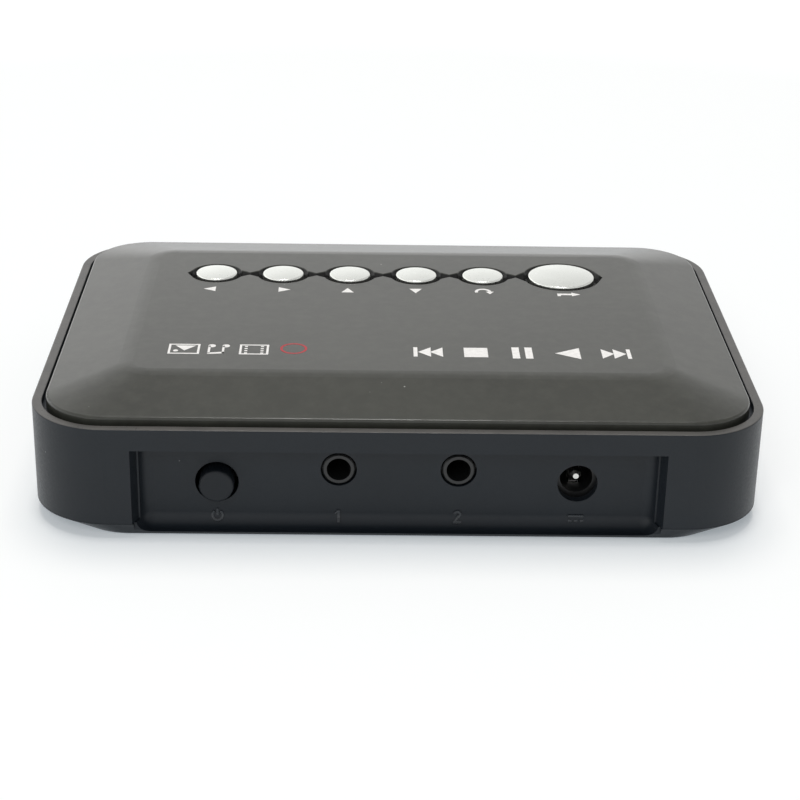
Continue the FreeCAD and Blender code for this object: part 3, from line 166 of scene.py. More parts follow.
# ---------------------------------------------------------------- materials
class Nodes:
    """Small helper that adds and links shader nodes from left to right."""

    def __init__(self, name):
        self.material = bpy.data.materials.new(name)
        self.material.use_nodes = True
        self.tree = self.material.node_tree
        self.shader = self.tree.nodes["Principled BSDF"]
        self.coordinates = self.add("ShaderNodeTexCoord").outputs["Object"]

    def add(self, kind, **values):
        node = self.tree.nodes.new(kind)
        for key, value in values.items():
            setattr(node, key, value)
        return node

    def link(self, output, socket):
        self.tree.links.new(output, socket)

    def noise(self, scale, detail=2.0, roughness=0.5, vector=None):
        node = self.add("ShaderNodeTexNoise")
        node.inputs["Scale"].default_value = scale
        node.inputs["Detail"].default_value = detail
        node.inputs["Roughness"].default_value = roughness
        self.link(vector or self.coordinates, node.inputs["Vector"])
        return node.outputs["Fac"]

    def cells(self, scale):
        node = self.add("ShaderNodeTexVoronoi", feature="F1")
        node.inputs["Scale"].default_value = scale
        self.link(self.coordinates, node.inputs["Vector"])
        return node.outputs["Distance"]

    def stretch(self, scale):
        node = self.add("ShaderNodeMapping")
        node.inputs["Scale"].default_value = scale
        self.link(self.coordinates, node.inputs["Vector"])
        return node.outputs["Vector"]

    def remap(self, value, low, high, to_low, to_high):
        node = self.add("ShaderNodeMapRange")
        limits = (("From Min", low), ("From Max", high), ("To Min", to_low), ("To Max", to_high))
        for key, number in limits:
            node.inputs[key].default_value = number
        self.link(value, node.inputs["Value"])
        return node.outputs["Result"]

    def math(self, operation, first, second):
        node = self.add("ShaderNodeMath", operation=operation)
        for socket, value in zip(node.inputs, (first, second)):
            if isinstance(value, (int, float)):
                socket.default_value = value
            else:
                self.link(value, socket)
        return node.outputs["Value"]

    def inside(self, low, high):
        """1 inside the box from low to high, in millimetres, and 0 outside."""
        axes = self.add("ShaderNodeSeparateXYZ")
        self.link(self.coordinates, axes.inputs["Vector"])
        tests = [self.math(operation, axes.outputs[axis], limit * MM)
                 for axis, bottom, top in zip("XYZ", low, high)
                 for operation, limit in (("GREATER_THAN", bottom), ("LESS_THAN", top))]
        result = tests[0]
        for test in tests[1:]:
            result = self.math("MULTIPLY", result, test)
        return result

    def blend(self, factor, first, second):
        """Mixes two colours, each a tuple or an output."""
        node = self.add("ShaderNodeMix", data_type="RGBA")
        self.link(factor, node.inputs["Factor"])
        sockets = [s for s in node.inputs if s.type == "RGBA"]
        for socket, value in zip(sockets, (first, second)):
            if hasattr(value, "is_output"):
                self.link(value, socket)
            else:
                socket.default_value = (*value, 1.0)
        return [s for s in node.outputs if s.type == "RGBA"][0]

    def bump(self, height, distance, strength):
        node = self.add("ShaderNodeBump")
        node.inputs["Strength"].default_value = strength
        node.inputs["Distance"].default_value = distance
        self.link(height, node.inputs["Height"])
        return node.outputs["Normal"]

    def finish(self, colour, roughness, normal=None, **fixed):
        """Sets the shader: outputs are linked, numbers and colours are set on its sockets."""
        for value, key in ((colour, "Base Color"), (roughness, "Roughness"), (normal, "Normal")):
            if value is None:
                continue
            if hasattr(value, "is_output"):
                self.link(value, self.shader.inputs[key])
            elif isinstance(value, (tuple, list)):
                self.shader.inputs[key].default_value = (*value, 1.0)
            else:
                self.shader.inputs[key].default_value = value
        for key, value in fixed.items():
            self.shader.inputs[key.replace("_", " ")].default_value = value
        return self.material


# Linear colours laid over the finishes.
DUST, LID_DUST = (0.45, 0.46, 0.47), (0.5, 0.5, 0.48)
# Of the second pair, the first is a painted sheen on the rim's top and the second is painted shade in the key
# wells.
RIM_SHEEN, WELL_SHADE = (0.095, 0.093, 0.088), (0.003, 0.003, 0.003)


def shade(colour, factor):
    return tuple(min(1.0, channel * factor) for channel in colour)


def moulded_material(name, colour, grain=0.35, roughness=0.42, dust=0.0, gloss=0.5, sheen_above=None):
    """Moulded plastic: fine spark texture, flow clouds, and where asked specks of dust and a smoother top
    edge painted lighter as a painted sheen.
    """
    m = Nodes(name)
    clouds = m.noise(55.0, 4.0, 0.6)
    pits = m.noise(1.0 / (grain * MM), 2.0, 0.6)
    base = m.blend(m.remap(clouds, 0.35, 0.7, 0.0, 1.0), shade(colour, 0.88), shade(colour, 1.14))
    rough = m.remap(pits, 0.3, 0.7, roughness - 0.05, roughness + 0.07)
    if dust:
        specks = m.remap(m.cells(260.0), 0.015, 0.045, dust, 0.0)
        chosen = m.remap(m.noise(95.0, 1.0), 0.60, 0.66, 0.0, 1.0)
        base = m.blend(m.math("MULTIPLY", specks, chosen), base, DUST)
    if sheen_above is not None:
        # Above the given height: painted sheen, a lighter colour in patches, with a smoother finish.
        sheen_top = m.inside((-FAR, -FAR, sheen_above), (FAR, FAR, FAR))
        sheen_patches = m.math("MULTIPLY", sheen_top, m.remap(m.noise(300.0, 3.0), 0.3, 0.7, 0.75, 1.0))
        base = m.blend(sheen_patches, base, RIM_SHEEN)
        rough = m.math("SUBTRACT", rough, m.math("MULTIPLY", sheen_top, 0.1))
    return m.finish(base, rough, m.bump(pits, 0.012 * MM, 0.5), IOR=1.5, Specular_IOR_Level=gloss)


def lid_material():
    """Satin lacquer with soft orange peel, wipe marks and dust; the key wells are matt and painted near black
    as painted shade.
    """
    m = Nodes("lid_lacquer")
    colour = tuple(colours().lid)
    peel = m.noise(900.0, 3.0, 0.55)
    clouds = m.noise(38.0, 4.0, 0.6)
    mottle = m.noise(420.0, 3.0, 0.65)
    wipes = m.noise(45.0, 3.0, 0.6, m.stretch((1.0, 2.5, 1.0)))
    base = m.blend(m.remap(clouds, 0.35, 0.68, 0.0, 1.0), shade(colour, 0.9), shade(colour, 1.12))
    base = m.blend(m.remap(mottle, 0.42, 0.72, 0.0, 0.45), base, shade(colour, 1.6))
    specks = m.remap(m.cells(300.0), 0.015, 0.05, 0.75, 0.0)
    chosen = m.remap(m.noise(80.0, 1.0), 0.62, 0.67, 0.0, 1.0)
    base = m.blend(m.math("MULTIPLY", specks, chosen), base, LID_DUST)
    # Below the plateau round the keys: painted shade, near black, and a matt finish.
    well_shade = m.inside(WELL_SHADE_LOW, WELL_SHADE_HIGH)
    base = m.blend(well_shade, base, WELL_SHADE)
    lacquer = m.math("ADD", m.remap(wipes, 0.35, 0.7, 0.315, 0.33), m.remap(peel, 0.3, 0.7, 0.0, 0.02))
    rough = m.math("MAXIMUM", lacquer, m.math("MULTIPLY", well_shade, 0.8))
    return m.finish(base, rough, m.bump(peel, 0.006 * MM, 0.4), IOR=1.36, Coat_Weight=0.33,
                    Coat_Roughness=0.12)


def plating_material():
    """Satin silver plating on moulded keys: very fine grain and softly clouded gloss."""
    m = Nodes("key_plating")
    colour = tuple(colours().keys)
    grain = m.noise(2600.0, 2.0, 0.6)
    clouds = m.noise(160.0, 3.0)
    base = m.blend(m.remap(clouds, 0.35, 0.65, 0.0, 1.0), shade(colour, 0.965), shade(colour, 1.02))
    rough = m.remap(grain, 0.3, 0.7, 0.26, 0.36)
    return m.finish(base, rough, m.bump(grain, 0.004 * MM, 0.35), Metallic=1.0)


def ink_material(name, colour):
    """Screen-printed ink: slightly uneven film with pinholes."""
    m = Nodes(name)
    film = m.noise(1500.0, 3.0, 0.7)
    base = m.blend(m.remap(film, 0.3, 0.6, 0.0, 1.0), shade(colour, 0.84), colour)
    return m.finish(base, m.remap(film, 0.3, 0.7, 0.48, 0.62), m.bump(film, 0.005 * MM, 0.4))


def rubber_material():
    """Matt rubber with a fine grain."""
    m = Nodes("foot_rubber")
    grain = m.noise(1800.0, 3.0, 0.6)
    clouds = m.noise(120.0, 3.0)
    base = m.blend(m.remap(clouds, 0.3, 0.7, 0.0, 1.0), (0.013, 0.013, 0.013), (0.030, 0.030, 0.029))
    return m.finish(base, m.remap(grain, 0.3, 0.7, 0.78, 0.92), m.bump(grain, 0.02 * MM, 0.5))


def metal_material(name, colour, roughness, brushed=(1.0, 1.0, 1.0), tarnish=0.2):
    """Sheet or drawn metal with rolling lines along one axis and light tarnish."""
    m = Nodes(name)
    lines = m.noise(900.0, 3.0, 0.6, m.stretch(brushed))
    clouds = m.noise(210.0, 4.0, 0.6)
    base = m.blend(m.remap(clouds, 0.42, 0.75, 0.0, tarnish), colour, shade(colour, 0.45))
    rough = m.remap(lines, 0.3, 0.7, roughness - 0.06, roughness + 0.1)
    return m.finish(base, rough, m.bump(lines, 0.006 * MM, 0.5), Metallic=1.0)


def board_material():
    """Solder mask over woven laminate, with tracks that show as slightly raised, lighter lines."""
    m = Nodes("board_laminate")
    colour = tuple(colours().mask)
    grid = m.add("ShaderNodeTexBrick", offset=0.5, squash=1.0)
    grid.inputs["Scale"].default_value = 420.0
    grid.inputs["Mortar Size"].default_value = 0.035
    for socket, level in (("Color1", 0.0), ("Color2", 0.0), ("Mortar", 1.0)):
        grid.inputs[socket].default_value = (level, level, level, 1.0)
    m.link(m.coordinates, grid.inputs["Vector"])
    tracks = m.math("MULTIPLY", grid.outputs["Color"], m.remap(m.noise(70.0, 1.0), 0.45, 0.5, 0.0, 1.0))
    weave = m.noise(2400.0, 2.0, 0.5, m.stretch((1.0, 0.3, 1.0)))
    base = m.blend(tracks, m.blend(weave, shade(colour, 0.8), shade(colour, 1.2)), shade(colour, 2.1))
    return m.finish(base, m.remap(weave, 0.3, 0.7, 0.28, 0.4), m.bump(tracks, 0.02 * MM, 0.6))


def window_material():
    """Dark tinted window: polished, with hairline scratches."""
    m = Nodes("window_tint")
    scratches = m.noise(500.0, 2.0, 0.5, m.stretch((1.0, 1.0, 30.0)))
    clouds = m.noise(150.0, 3.0)
    base = m.blend(m.remap(clouds, 0.3, 0.7, 0.0, 1.0), (0.010, 0.0015, 0.002), (0.020, 0.003, 0.004))
    return m.finish(base, m.remap(scratches, 0.4, 0.75, 0.05, 0.16), Coat_Weight=0.6, Coat_Roughness=0.05)


def lamp_material():
    """Hazy lens of a status lamp."""
    m = Nodes("lamp_lens")
    haze = m.noise(800.0, 2.0)
    base = m.blend(m.remap(haze, 0.3, 0.7, 0.0, 1.0), (0.50, 0.55, 0.60), (0.62, 0.66, 0.70))
    return m.finish(base, m.remap(haze, 0.3, 0.7, 0.12, 0.24), m.bump(haze, 0.004 * MM, 0.4))


def build_materials():
    """One finish for each material slot of the record, and mark_black for the raised marks."""
    housing = tuple(colours().housing)
    return {
        # The housing's rim top gets a painted sheen.
        "housing_black": moulded_material("housing_plastic", housing, roughness=0.42, dust=0.4, gloss=0.32,
                                          sheen_above=RIM_Z - RIM_SHEEN_DEPTH),
        "lid_black": lid_material(),
        "key_silver": plating_material(),
        # The raised marks are the housing colour made 1.35 times lighter as a painted highlight on their
        # relief, with a smoother, glossier finish.
        "mark_black": moulded_material("mark_plastic", shade(housing, 1.35), grain=0.2, roughness=0.26,
                                       gloss=0.55),
        "plunger_black": moulded_material("plunger_plastic", (0.02, 0.02, 0.02), roughness=0.5),
        "power_key_black": moulded_material("power_key_plastic", shade(housing, 0.75), grain=0.25,
                                            roughness=0.46, gloss=0.3),
        "foot_rubber": rubber_material(),
        "screw_steel": metal_material("screw_steel", (0.16, 0.16, 0.165), 0.36, (1.0, 1.0, 0.2)),
        "board_laminate": board_material(),
        "moulded_black": moulded_material("connector_plastic", (0.010, 0.0105, 0.011), grain=0.2,
                                          roughness=0.36),
        "stem_white": moulded_material("stem_plastic", (0.55, 0.55, 0.52), roughness=0.45),
        "contact_brass": metal_material("contact_plating", (0.86, 0.78, 0.60), 0.22, (1.0, 0.1, 1.0), 0.1),
        "spring_steel": metal_material("spring_wire", (0.55, 0.55, 0.56), 0.25),
        "sheet_steel": metal_material("nickel_sheet", (0.66, 0.65, 0.63), 0.27, (1.0, 0.06, 1.0), 0.25),
        "chip_epoxy": moulded_material("chip_epoxy", (0.016, 0.016, 0.017), grain=0.15, roughness=0.55),
        "ferrite": moulded_material("ferrite_core", (0.045, 0.042, 0.042), grain=0.2, roughness=0.6),
        "sink_aluminium": metal_material("anodised_aluminium", (0.05, 0.05, 0.055), 0.45, (0.1, 1.0, 1.0)),
        "can_aluminium": metal_material("can_aluminium", (0.62, 0.62, 0.64), 0.3, (1.0, 1.0, 0.1)),
        "ceramic": moulded_material("ceramic_body", (0.33, 0.25, 0.17), grain=0.1, roughness=0.5),
        "window_tint": window_material(),
        "lamp_lens": lamp_material(),
    }


materials = {}


def material_for(slot):
    if not materials:
        materials.update(build_materials())
    return materials[slot]


# ---------------------------------------------------------------- meshes
def merged(*shapes):
    """Joins (points, faces) pairs into one."""
    points, faces = [], []
    for shape_points, shape_faces in shapes:
        start = len(points)
        points += list(shape_points)
        faces += [tuple(start + i for i in face) for face in shape_faces]
    return points, faces


def polygon(*corners):
    return list(corners), [tuple(range(len(corners)))]


def bar(x0, y0, x1, y1):
    return polygon((x0, y0), (x1, y0), (x1, y1), (x0, y1))


def ring(cx, cy, outer, inner, start=0.0, turn=360.0, steps=48):
    """Flat ring or arc of one, in degrees, counter-clockwise."""
    closed = turn >= 360.0
    count = steps if closed else steps + 1
    points, faces = [], []
    for i in range(count):
        angle = math.radians(start + turn * i / steps)
        direction = (math.cos(angle), math.sin(angle))
        points += [(cx + outer * direction[0], cy + outer * direction[1]),
                   (cx + inner * direction[0], cy + inner * direction[1])]
    for i in range(steps):
        a, b = 2 * i, 2 * ((i + 1) % count)
        faces.append((a, b, b + 1, a + 1))
    return points, faces


def disc(cx, cy, radius, steps=40):
    angles = [2 * math.pi * i / steps for i in range(steps)]
    return polygon(*((cx + radius * math.cos(angle), cy + radius * math.sin(angle)) for angle in angles))


def frame_of(x0, y0, x1, y1, line):
    """Rectangular outline of the given line width."""
    points = [(x0, y0), (x1, y0), (x1, y1), (x0, y1), (x0 + line, y0 + line), (x1 - line, y0 + line),
              (x1 - line, y1 - line), (x0 + line, y1 - line)]
    faces = [(0, 1, 5, 4), (1, 2, 6, 5), (2, 3, 7, 6), (3, 0, 4, 7)]
    return points, faces


def moved(shape, dx, dy):
    points, faces = shape
    return [(x + dx, y + dy) for x, y in points], faces


def add_object(name, data):
    """Puts a new object with the given data into the scene, at the origin."""
    made = bpy.data.objects.new(name, data)
    bpy.context.scene.collection.objects.link(made)
    return made


def raised_piece(name, shape, place, lift, material, cuts=0):
    """Extrudes a flat shape: place(u, v, height) gives the point in millimetres.

    cuts divides the shape first, so that it can follow a curved surface.
    """
    points, faces = shape
    mesh = bmesh.new()
    vertices = [mesh.verts.new((u, v, 0.0)) for u, v in points]
    for face in faces:
        mesh.faces.new([vertices[i] for i in face])
    bmesh.ops.remove_doubles(mesh, verts=mesh.verts, dist=1e-5)
    if cuts:
        bmesh.ops.triangulate(mesh, faces=mesh.faces)
        bmesh.ops.subdivide_edges(mesh, edges=mesh.edges, cuts=cuts, use_grid_fill=True)
    grown = bmesh.ops.extrude_face_region(mesh, geom=mesh.faces[:])
    top = [item for item in grown["geom"] if isinstance(item, bmesh.types.BMVert)]
    for vertex in top:
        vertex.co.z = lift
    for vertex in mesh.verts:
        vertex.co = Vector(place(vertex.co.x, vertex.co.y, vertex.co.z)) * MM
    bmesh.ops.recalc_face_normals(mesh, faces=mesh.faces)
    data = bpy.data.meshes.new(name)
    mesh.to_mesh(data)
    mesh.free()
    data.materials.append(material)
    piece = add_object(name, data)
    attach(piece, "case")


def on_lid(u, v, height):
    return u, v, PLATEAU_Z - PRINT_SUNK + height


# ---------------------------------------------------------------- signs
def arrow_head(direction, size):
    """Solid triangle; direction is a unit step."""
    dx, dy = direction
    half, long = size * 0.52, size * 0.5
    return polygon((dx * long, dy * long), (-dx * long - dy * half, -dy * long + dx * half),
                   (-dx * long + dy * half, -dy * long - dx * half))


def enter_sign(size):
    """Arrow towards -X with a short foot at its tail."""
    shaft, wide, neck, tail = size * 0.17, size * 0.42, -size * 0.25, size * 0.95
    head = polygon((neck, -wide), (neck, wide), (-size * 0.98, 0.0))
    return merged(bar(neck, -shaft, tail, shaft), bar(size * 0.67, shaft, tail, wide), head)


def back_sign(size):
    """Arch that is open towards +Y and ends in an arrow head at its -X end."""
    radius = size * 0.56
    line = size * 0.13
    head = polygon((-radius - size * 0.34, -size * 0.02), (-radius + size * 0.34, -size * 0.02),
                   (-radius, size * 0.56))
    return merged(ring(0, 0, radius + line, radius - line, 180.0, 200.0), head)


def sign_for(key, size):
    if key == "enter":
        return enter_sign(size)
    if key == "back":
        return back_sign(size)
    directions = {"right": (1, 0), "left": (-1, 0), "down": (0, -1), "up": (0, 1)}
    return arrow_head(directions[key], size)


def play_sign(size):
    return polygon((-size * 0.4, -size * 0.5), (size * 0.48, 0.0), (-size * 0.4, size * 0.5))


def pause_sign(size):
    half, inner, outer = size * 0.5, size * 0.1, size * 0.36
    return merged(bar(-outer, -half, -inner, half), bar(inner, -half, outer, half))


def stop_sign(size):
    half = size * 0.42
    return bar(-half, -half, half, half)


def skip_sign(size, way):
    """Two arrow heads against a bar; way is 1 to the right."""
    half = size * 0.42
    heads = []
    for x in (-0.22, 0.2):
        back, tip = way * (x - 0.25) * size, way * (x + 0.2) * size
        heads.append(polygon((back, -half), (tip, 0.0), (back, half)))
    edge = sorted((way * size * 0.42, way * size * 0.56))
    return merged(*heads, bar(edge[0], -half, edge[1], half))


def film_sign(size):
    """Film frame with a row of holes along each short side."""
    width = size * 0.58
    holes = []
    outline = frame_of(-width, -size * 0.5, width, size * 0.5, size * 0.09)
    for x in (-width + size * 0.2, width - size * 0.32):
        for i in range(4):
            y = -size * 0.36 + i * size * 0.22
            holes.append(bar(x, y, x + size * 0.12, y + size * 0.1))
    return merged(outline, *holes)


def note_sign(size):
    """Two notes under one beam."""
    foot = -size * 0.34
    heads = [disc(x, foot, size * 0.15) for x in (-size * 0.26, size * 0.3)]
    stems = [bar(x - size * 0.05, foot, x + size * 0.04, size * 0.42) for x in (-size * 0.16, size * 0.4)]
    beam = polygon((-size * 0.21, size * 0.26), (size * 0.44, size * 0.36), (size * 0.44, size * 0.5),
                   (-size * 0.21, size * 0.42))
    return merged(*heads, *stems, beam)


def picture_sign(size):
    """Frame with a hill and a sun."""
    width = size * 0.62
    outline = frame_of(-width, -size * 0.5, width, size * 0.5, size * 0.09)
    foot = -size * 0.34
    hill = polygon((-width + size * 0.16, foot), (size * 0.36, foot), (-size * 0.02, size * 0.16))
    return merged(outline, hill, disc(size * 0.32, size * 0.18, size * 0.1))


def standby_sign(size):
    """Open ring with a stroke in its gap."""
    radius = size * 0.36
    line = size * 0.075
    return merged(ring(0, 0, radius + line, radius - line, 125.0, 290.0), bar(-line, 0.0, line, size * 0.5))


def direct_current_sign(size):
    """One long stroke over three dashes."""
    line, dash, low, high = size * 0.075, size * 0.13, -size * 0.2, size * 0.15
    dashes = [bar(x - dash, low - line, x + dash, low + line) for x in (-size * 0.42, 0.0, size * 0.42)]
    return merged(bar(-size * 0.55, high - line, size * 0.55, high + line), *dashes)


def numeral_one(size):
    line, top, reach = size * 0.09, size * 0.45, -size * 0.26
    flag = polygon((-line, top), (reach, size * 0.25), (reach, size * 0.1), (-line, size * 0.27))
    return merged(bar(-line, -top, line, top), flag)


def numeral_two(size):
    line, radius, foot = size * 0.085, size * 0.2, -size * 0.45
    bow = ring(0, size * 0.2, radius + line, radius - line, -25.0, 195.0, 24)
    slant = polygon((radius + line * 0.6, size * 0.1), (radius - line * 1.5, size * 0.16),
                    (-radius - line, foot + line), (-radius + line, foot + line))
    return merged(bow, slant, bar(-radius - line, foot, radius + line, foot + 2 * line))


# ---------------------------------------------------------------- geometry nodes
def contact_row_tree():
    """Row of identical flat contacts along X, as a geometry tree with named sizes."""
    tree = bpy.data.node_groups.new("contact_row", "GeometryNodeTree")
    tree.is_modifier = True
    interface = tree.interface
    interface.new_socket("Geometry", in_out="INPUT", socket_type="NodeSocketGeometry")
    interface.new_socket("Geometry", in_out="OUTPUT", socket_type="NodeSocketGeometry")
    for name, kind in (("Count", "NodeSocketInt"), ("Pitch", "NodeSocketFloat"), ("Size", "NodeSocketVector"),
                       ("Material", "NodeSocketMaterial")):
        interface.new_socket(name, in_out="INPUT", socket_type=kind)
    given = tree.nodes.new("NodeGroupInput")
    result = tree.nodes.new("NodeGroupOutput")
    line = tree.nodes.new("GeometryNodeMeshLine")
    step = tree.nodes.new("ShaderNodeCombineXYZ")
    cube = tree.nodes.new("GeometryNodeMeshCube")
    instances = tree.nodes.new("GeometryNodeInstanceOnPoints")
    realize = tree.nodes.new("GeometryNodeRealizeInstances")
    paint = tree.nodes.new("GeometryNodeSetMaterial")
    link = tree.links.new
    link(given.outputs["Count"], line.inputs["Count"])
    link(given.outputs["Pitch"], step.inputs["X"])
    link(step.outputs["Vector"], line.inputs["Offset"])
    link(given.outputs["Size"], cube.inputs["Size"])
    link(line.outputs["Mesh"], instances.inputs["Points"])
    link(cube.outputs["Mesh"], instances.inputs["Instance"])
    link(instances.outputs["Instances"], realize.inputs["Geometry"])
    link(realize.outputs["Geometry"], paint.inputs["Geometry"])
    link(given.outputs["Material"], paint.inputs["Material"])
    link(paint.outputs["Geometry"], result.inputs["Geometry"])
    return tree


def contact_row(name, centre, count, pitch, size, turn=0.0):
    """Makes a row of contacts, centred, turned about Z in degrees, as a plain mesh. Sizes in millimetres."""
    tree = bpy.data.node_groups.get("contact_row") or contact_row_tree()
    holder = add_object(name + "_maker", bpy.data.meshes.new(name + "_maker"))
    modifier = holder.modifiers.new("row", "NODES")
    modifier.node_group = tree
    values = {"Count": count, "Pitch": pitch * MM, "Size": tuple(s * MM for s in size),
              "Material": material_for("contact_brass")}
    for item in tree.interface.items_tree:
        if item.in_out == "INPUT" and item.name in values:
            modifier[item.identifier] = values[item.name]
    evaluated = holder.evaluated_get(bpy.context.evaluated_depsgraph_get())
    data = bpy.data.meshes.new_from_object(evaluated)
    holder.modifiers.clear()
    bpy.data.objects.remove(holder)
    data.name = name
    data.transform(Matrix.Translation((-pitch * (count - 1) / 2 * MM, 0.0, 0.0)))
    data.transform(Matrix.Translation(Vector(centre) * MM) @ Matrix.Rotation(math.radians(turn), 4, "Z"))
    piece = add_object(name, data)
    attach(piece, "case")


# ---------------------------------------------------------------- operators
class PLAYER_OT_dress_nodes(bpy.types.Operator):
    """Gives every CAD node its finish"""
    bl_idname = "player.dress_nodes"
    bl_label = "Dress the mouldings and parts"

    def execute(self, context):
        for name, node in nodes.items():
            node.data.materials.clear()
            node.data.materials.append(material_for(SLOTS[name]))
        return {"FINISHED"}


class PLAYER_OT_return_spring(bpy.types.Operator):
    """Stands in for the power key's spring with a welded copy of its coil"""
    bl_idname = "player.return_spring"
    bl_label = "Make the return spring"

    def execute(self, context):
        coil = bmesh.new()
        coil.from_mesh(nodes["power_switch_spring"].data)
        bmesh.ops.remove_doubles(coil, verts=coil.verts, dist=1e-6)
        data = bpy.data.meshes.new("return_spring")
        coil.to_mesh(data)
        coil.free()
        data.materials.append(material_for("spring_steel"))
        piece = add_object("return_spring", data)
        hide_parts("power_switch_spring")
        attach(piece, "case")
        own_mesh(piece)
        return {"FINISHED"}


class PLAYER_OT_key_signs(bpy.types.Operator):
    """Prints a sign behind each key"""
    bl_idname = "player.key_signs"
    bl_label = "Print the key signs"

    def execute(self, context):
        s = sizes()
        ink = ink_material("white_ink", tuple(colours().ink))
        for key, (aside, further) in SIGN_SHIFTS.items():
            centre = node_centre("button_" + key)
            sign = moved(sign_for(key, s.symbol_size), centre.x + aside, centre.y + s.symbol_gap + further)
            raised_piece("sign_" + key, sign, on_lid, s.print_lift, ink)
        return {"FINISHED"}


class PLAYER_OT_lid_prints(bpy.types.Operator):
    """Prints the transport signs, the media signs and the red ring on the plateau"""
    bl_idname = "player.lid_prints"
    bl_label = "Print the lid"

    def execute(self, context):
        s = sizes()
        ink = ink_material("white_lid_ink", tuple(colours().ink))
        red = ink_material("red_lid_ink", tuple(colours().red_ink))
        tall, small = s.transport_height, s.media_height
        transport = (skip_sign(tall, -1), play_sign(tall), pause_sign(tall), stop_sign(tall),
                     skip_sign(tall, 1))
        media = (film_sign(small), note_sign(small), picture_sign(small))
        rows = (("transport_signs", TRANSPORT_START, s.transport_pitch, transport),
                ("media_signs", MEDIA_START, s.media_pitch, media))
        for name, (x, y), pitch, signs in rows:
            row = [moved(sign, x + i * pitch, y) for i, sign in enumerate(signs)]
            raised_piece(name, merged(*row), on_lid, s.print_lift, ink)
        raised_piece("red_ring", ring(*RING_CENTRE, RING_OUTER, RING_INNER), on_lid, s.print_lift, red)
        return {"FINISHED"}


class PLAYER_OT_port_marks(bpy.types.Operator):
    """Raises a mark below each fitting of the connector panel"""
    bl_idname = "player.port_marks"
    bl_label = "Mark the ports"

    def execute(self, context):
        s = sizes()
        panel_y = node_box("av_jack")[1].y

        def on_panel(u, v, height):
            """u is seen from behind, so it runs towards -X; the low part follows the sweep."""
            drop = max(0.0, SILL_Z + PANEL_SWEEP - v)
            reach = math.sqrt(max(0.0, PANEL_SWEEP ** 2 - drop ** 2))
            lift = (height - MARK_SUNK) / PANEL_SWEEP
            return -u, panel_y + PANEL_SWEEP - reach + lift * reach, v + lift * drop

        marks = (("power_button", standby_sign), ("component_jack", numeral_one), ("av_jack", numeral_two),
                 ("dc_inlet", direct_current_sign))
        for node, sign in marks:
            shape = moved(sign(s.mark_height), -node_centre(node).x, MARK_Z)
            raised_piece("mark_" + node, shape, on_panel, s.mark_lift + MARK_SUNK,
                         material_for("mark_black"), cuts=2)
        return {"FINISHED"}


class PLAYER_OT_contacts(bpy.types.Operator):
    """Lays the contact rows in the sockets"""
    bl_idname = "player.contacts"
    bl_label = "Lay the contacts"

    def execute(self, context):
        self.usb_row()
        self.video_rows()
        self.card_row()
        return {"FINISHED"}

    def usb_row(self):
        """On the lower face of the tongue, which hangs below the shell's roof."""
        roof, gap, inward = 0.35, 2.6, 4.6
        front = node_box("usb_tongue")[0].y
        blade_low = node_box("usb_shell")[1].z - roof - gap
        contact_row("usb_contacts", (node_centre("usb_tongue").x, front + inward, blade_low), **USB_CONTACTS)

    def video_rows(self):
        """One row on each face of the blade; the upper row has the odd contact."""
        blade_rise, blade_half, inward = 0.35, 0.55, 3.4
        x, y = node_box("hdmi_tongue")[0].x + inward, node_centre("hdmi_tongue").y
        blade = node_centre("hdmi_shell").z + blade_rise
        count = sizes().video_contacts
        for face, side, number in (("low", -1, count // 2), ("high", 1, count - count // 2)):
            contact_row("video_contacts_" + face, (x, y, blade + side * blade_half), number, turn=90.0,
                        **VIDEO_CONTACTS)

    def card_row(self):
        """On the slot's floor, near its inner end."""
        inward, rise = 5.2, 0.66
        low, high = node_box("card_slot_base")
        contact_row("card_contacts", ((low.x + high.x) / 2, high.y - inward, low.z + rise), **CARD_CONTACTS)


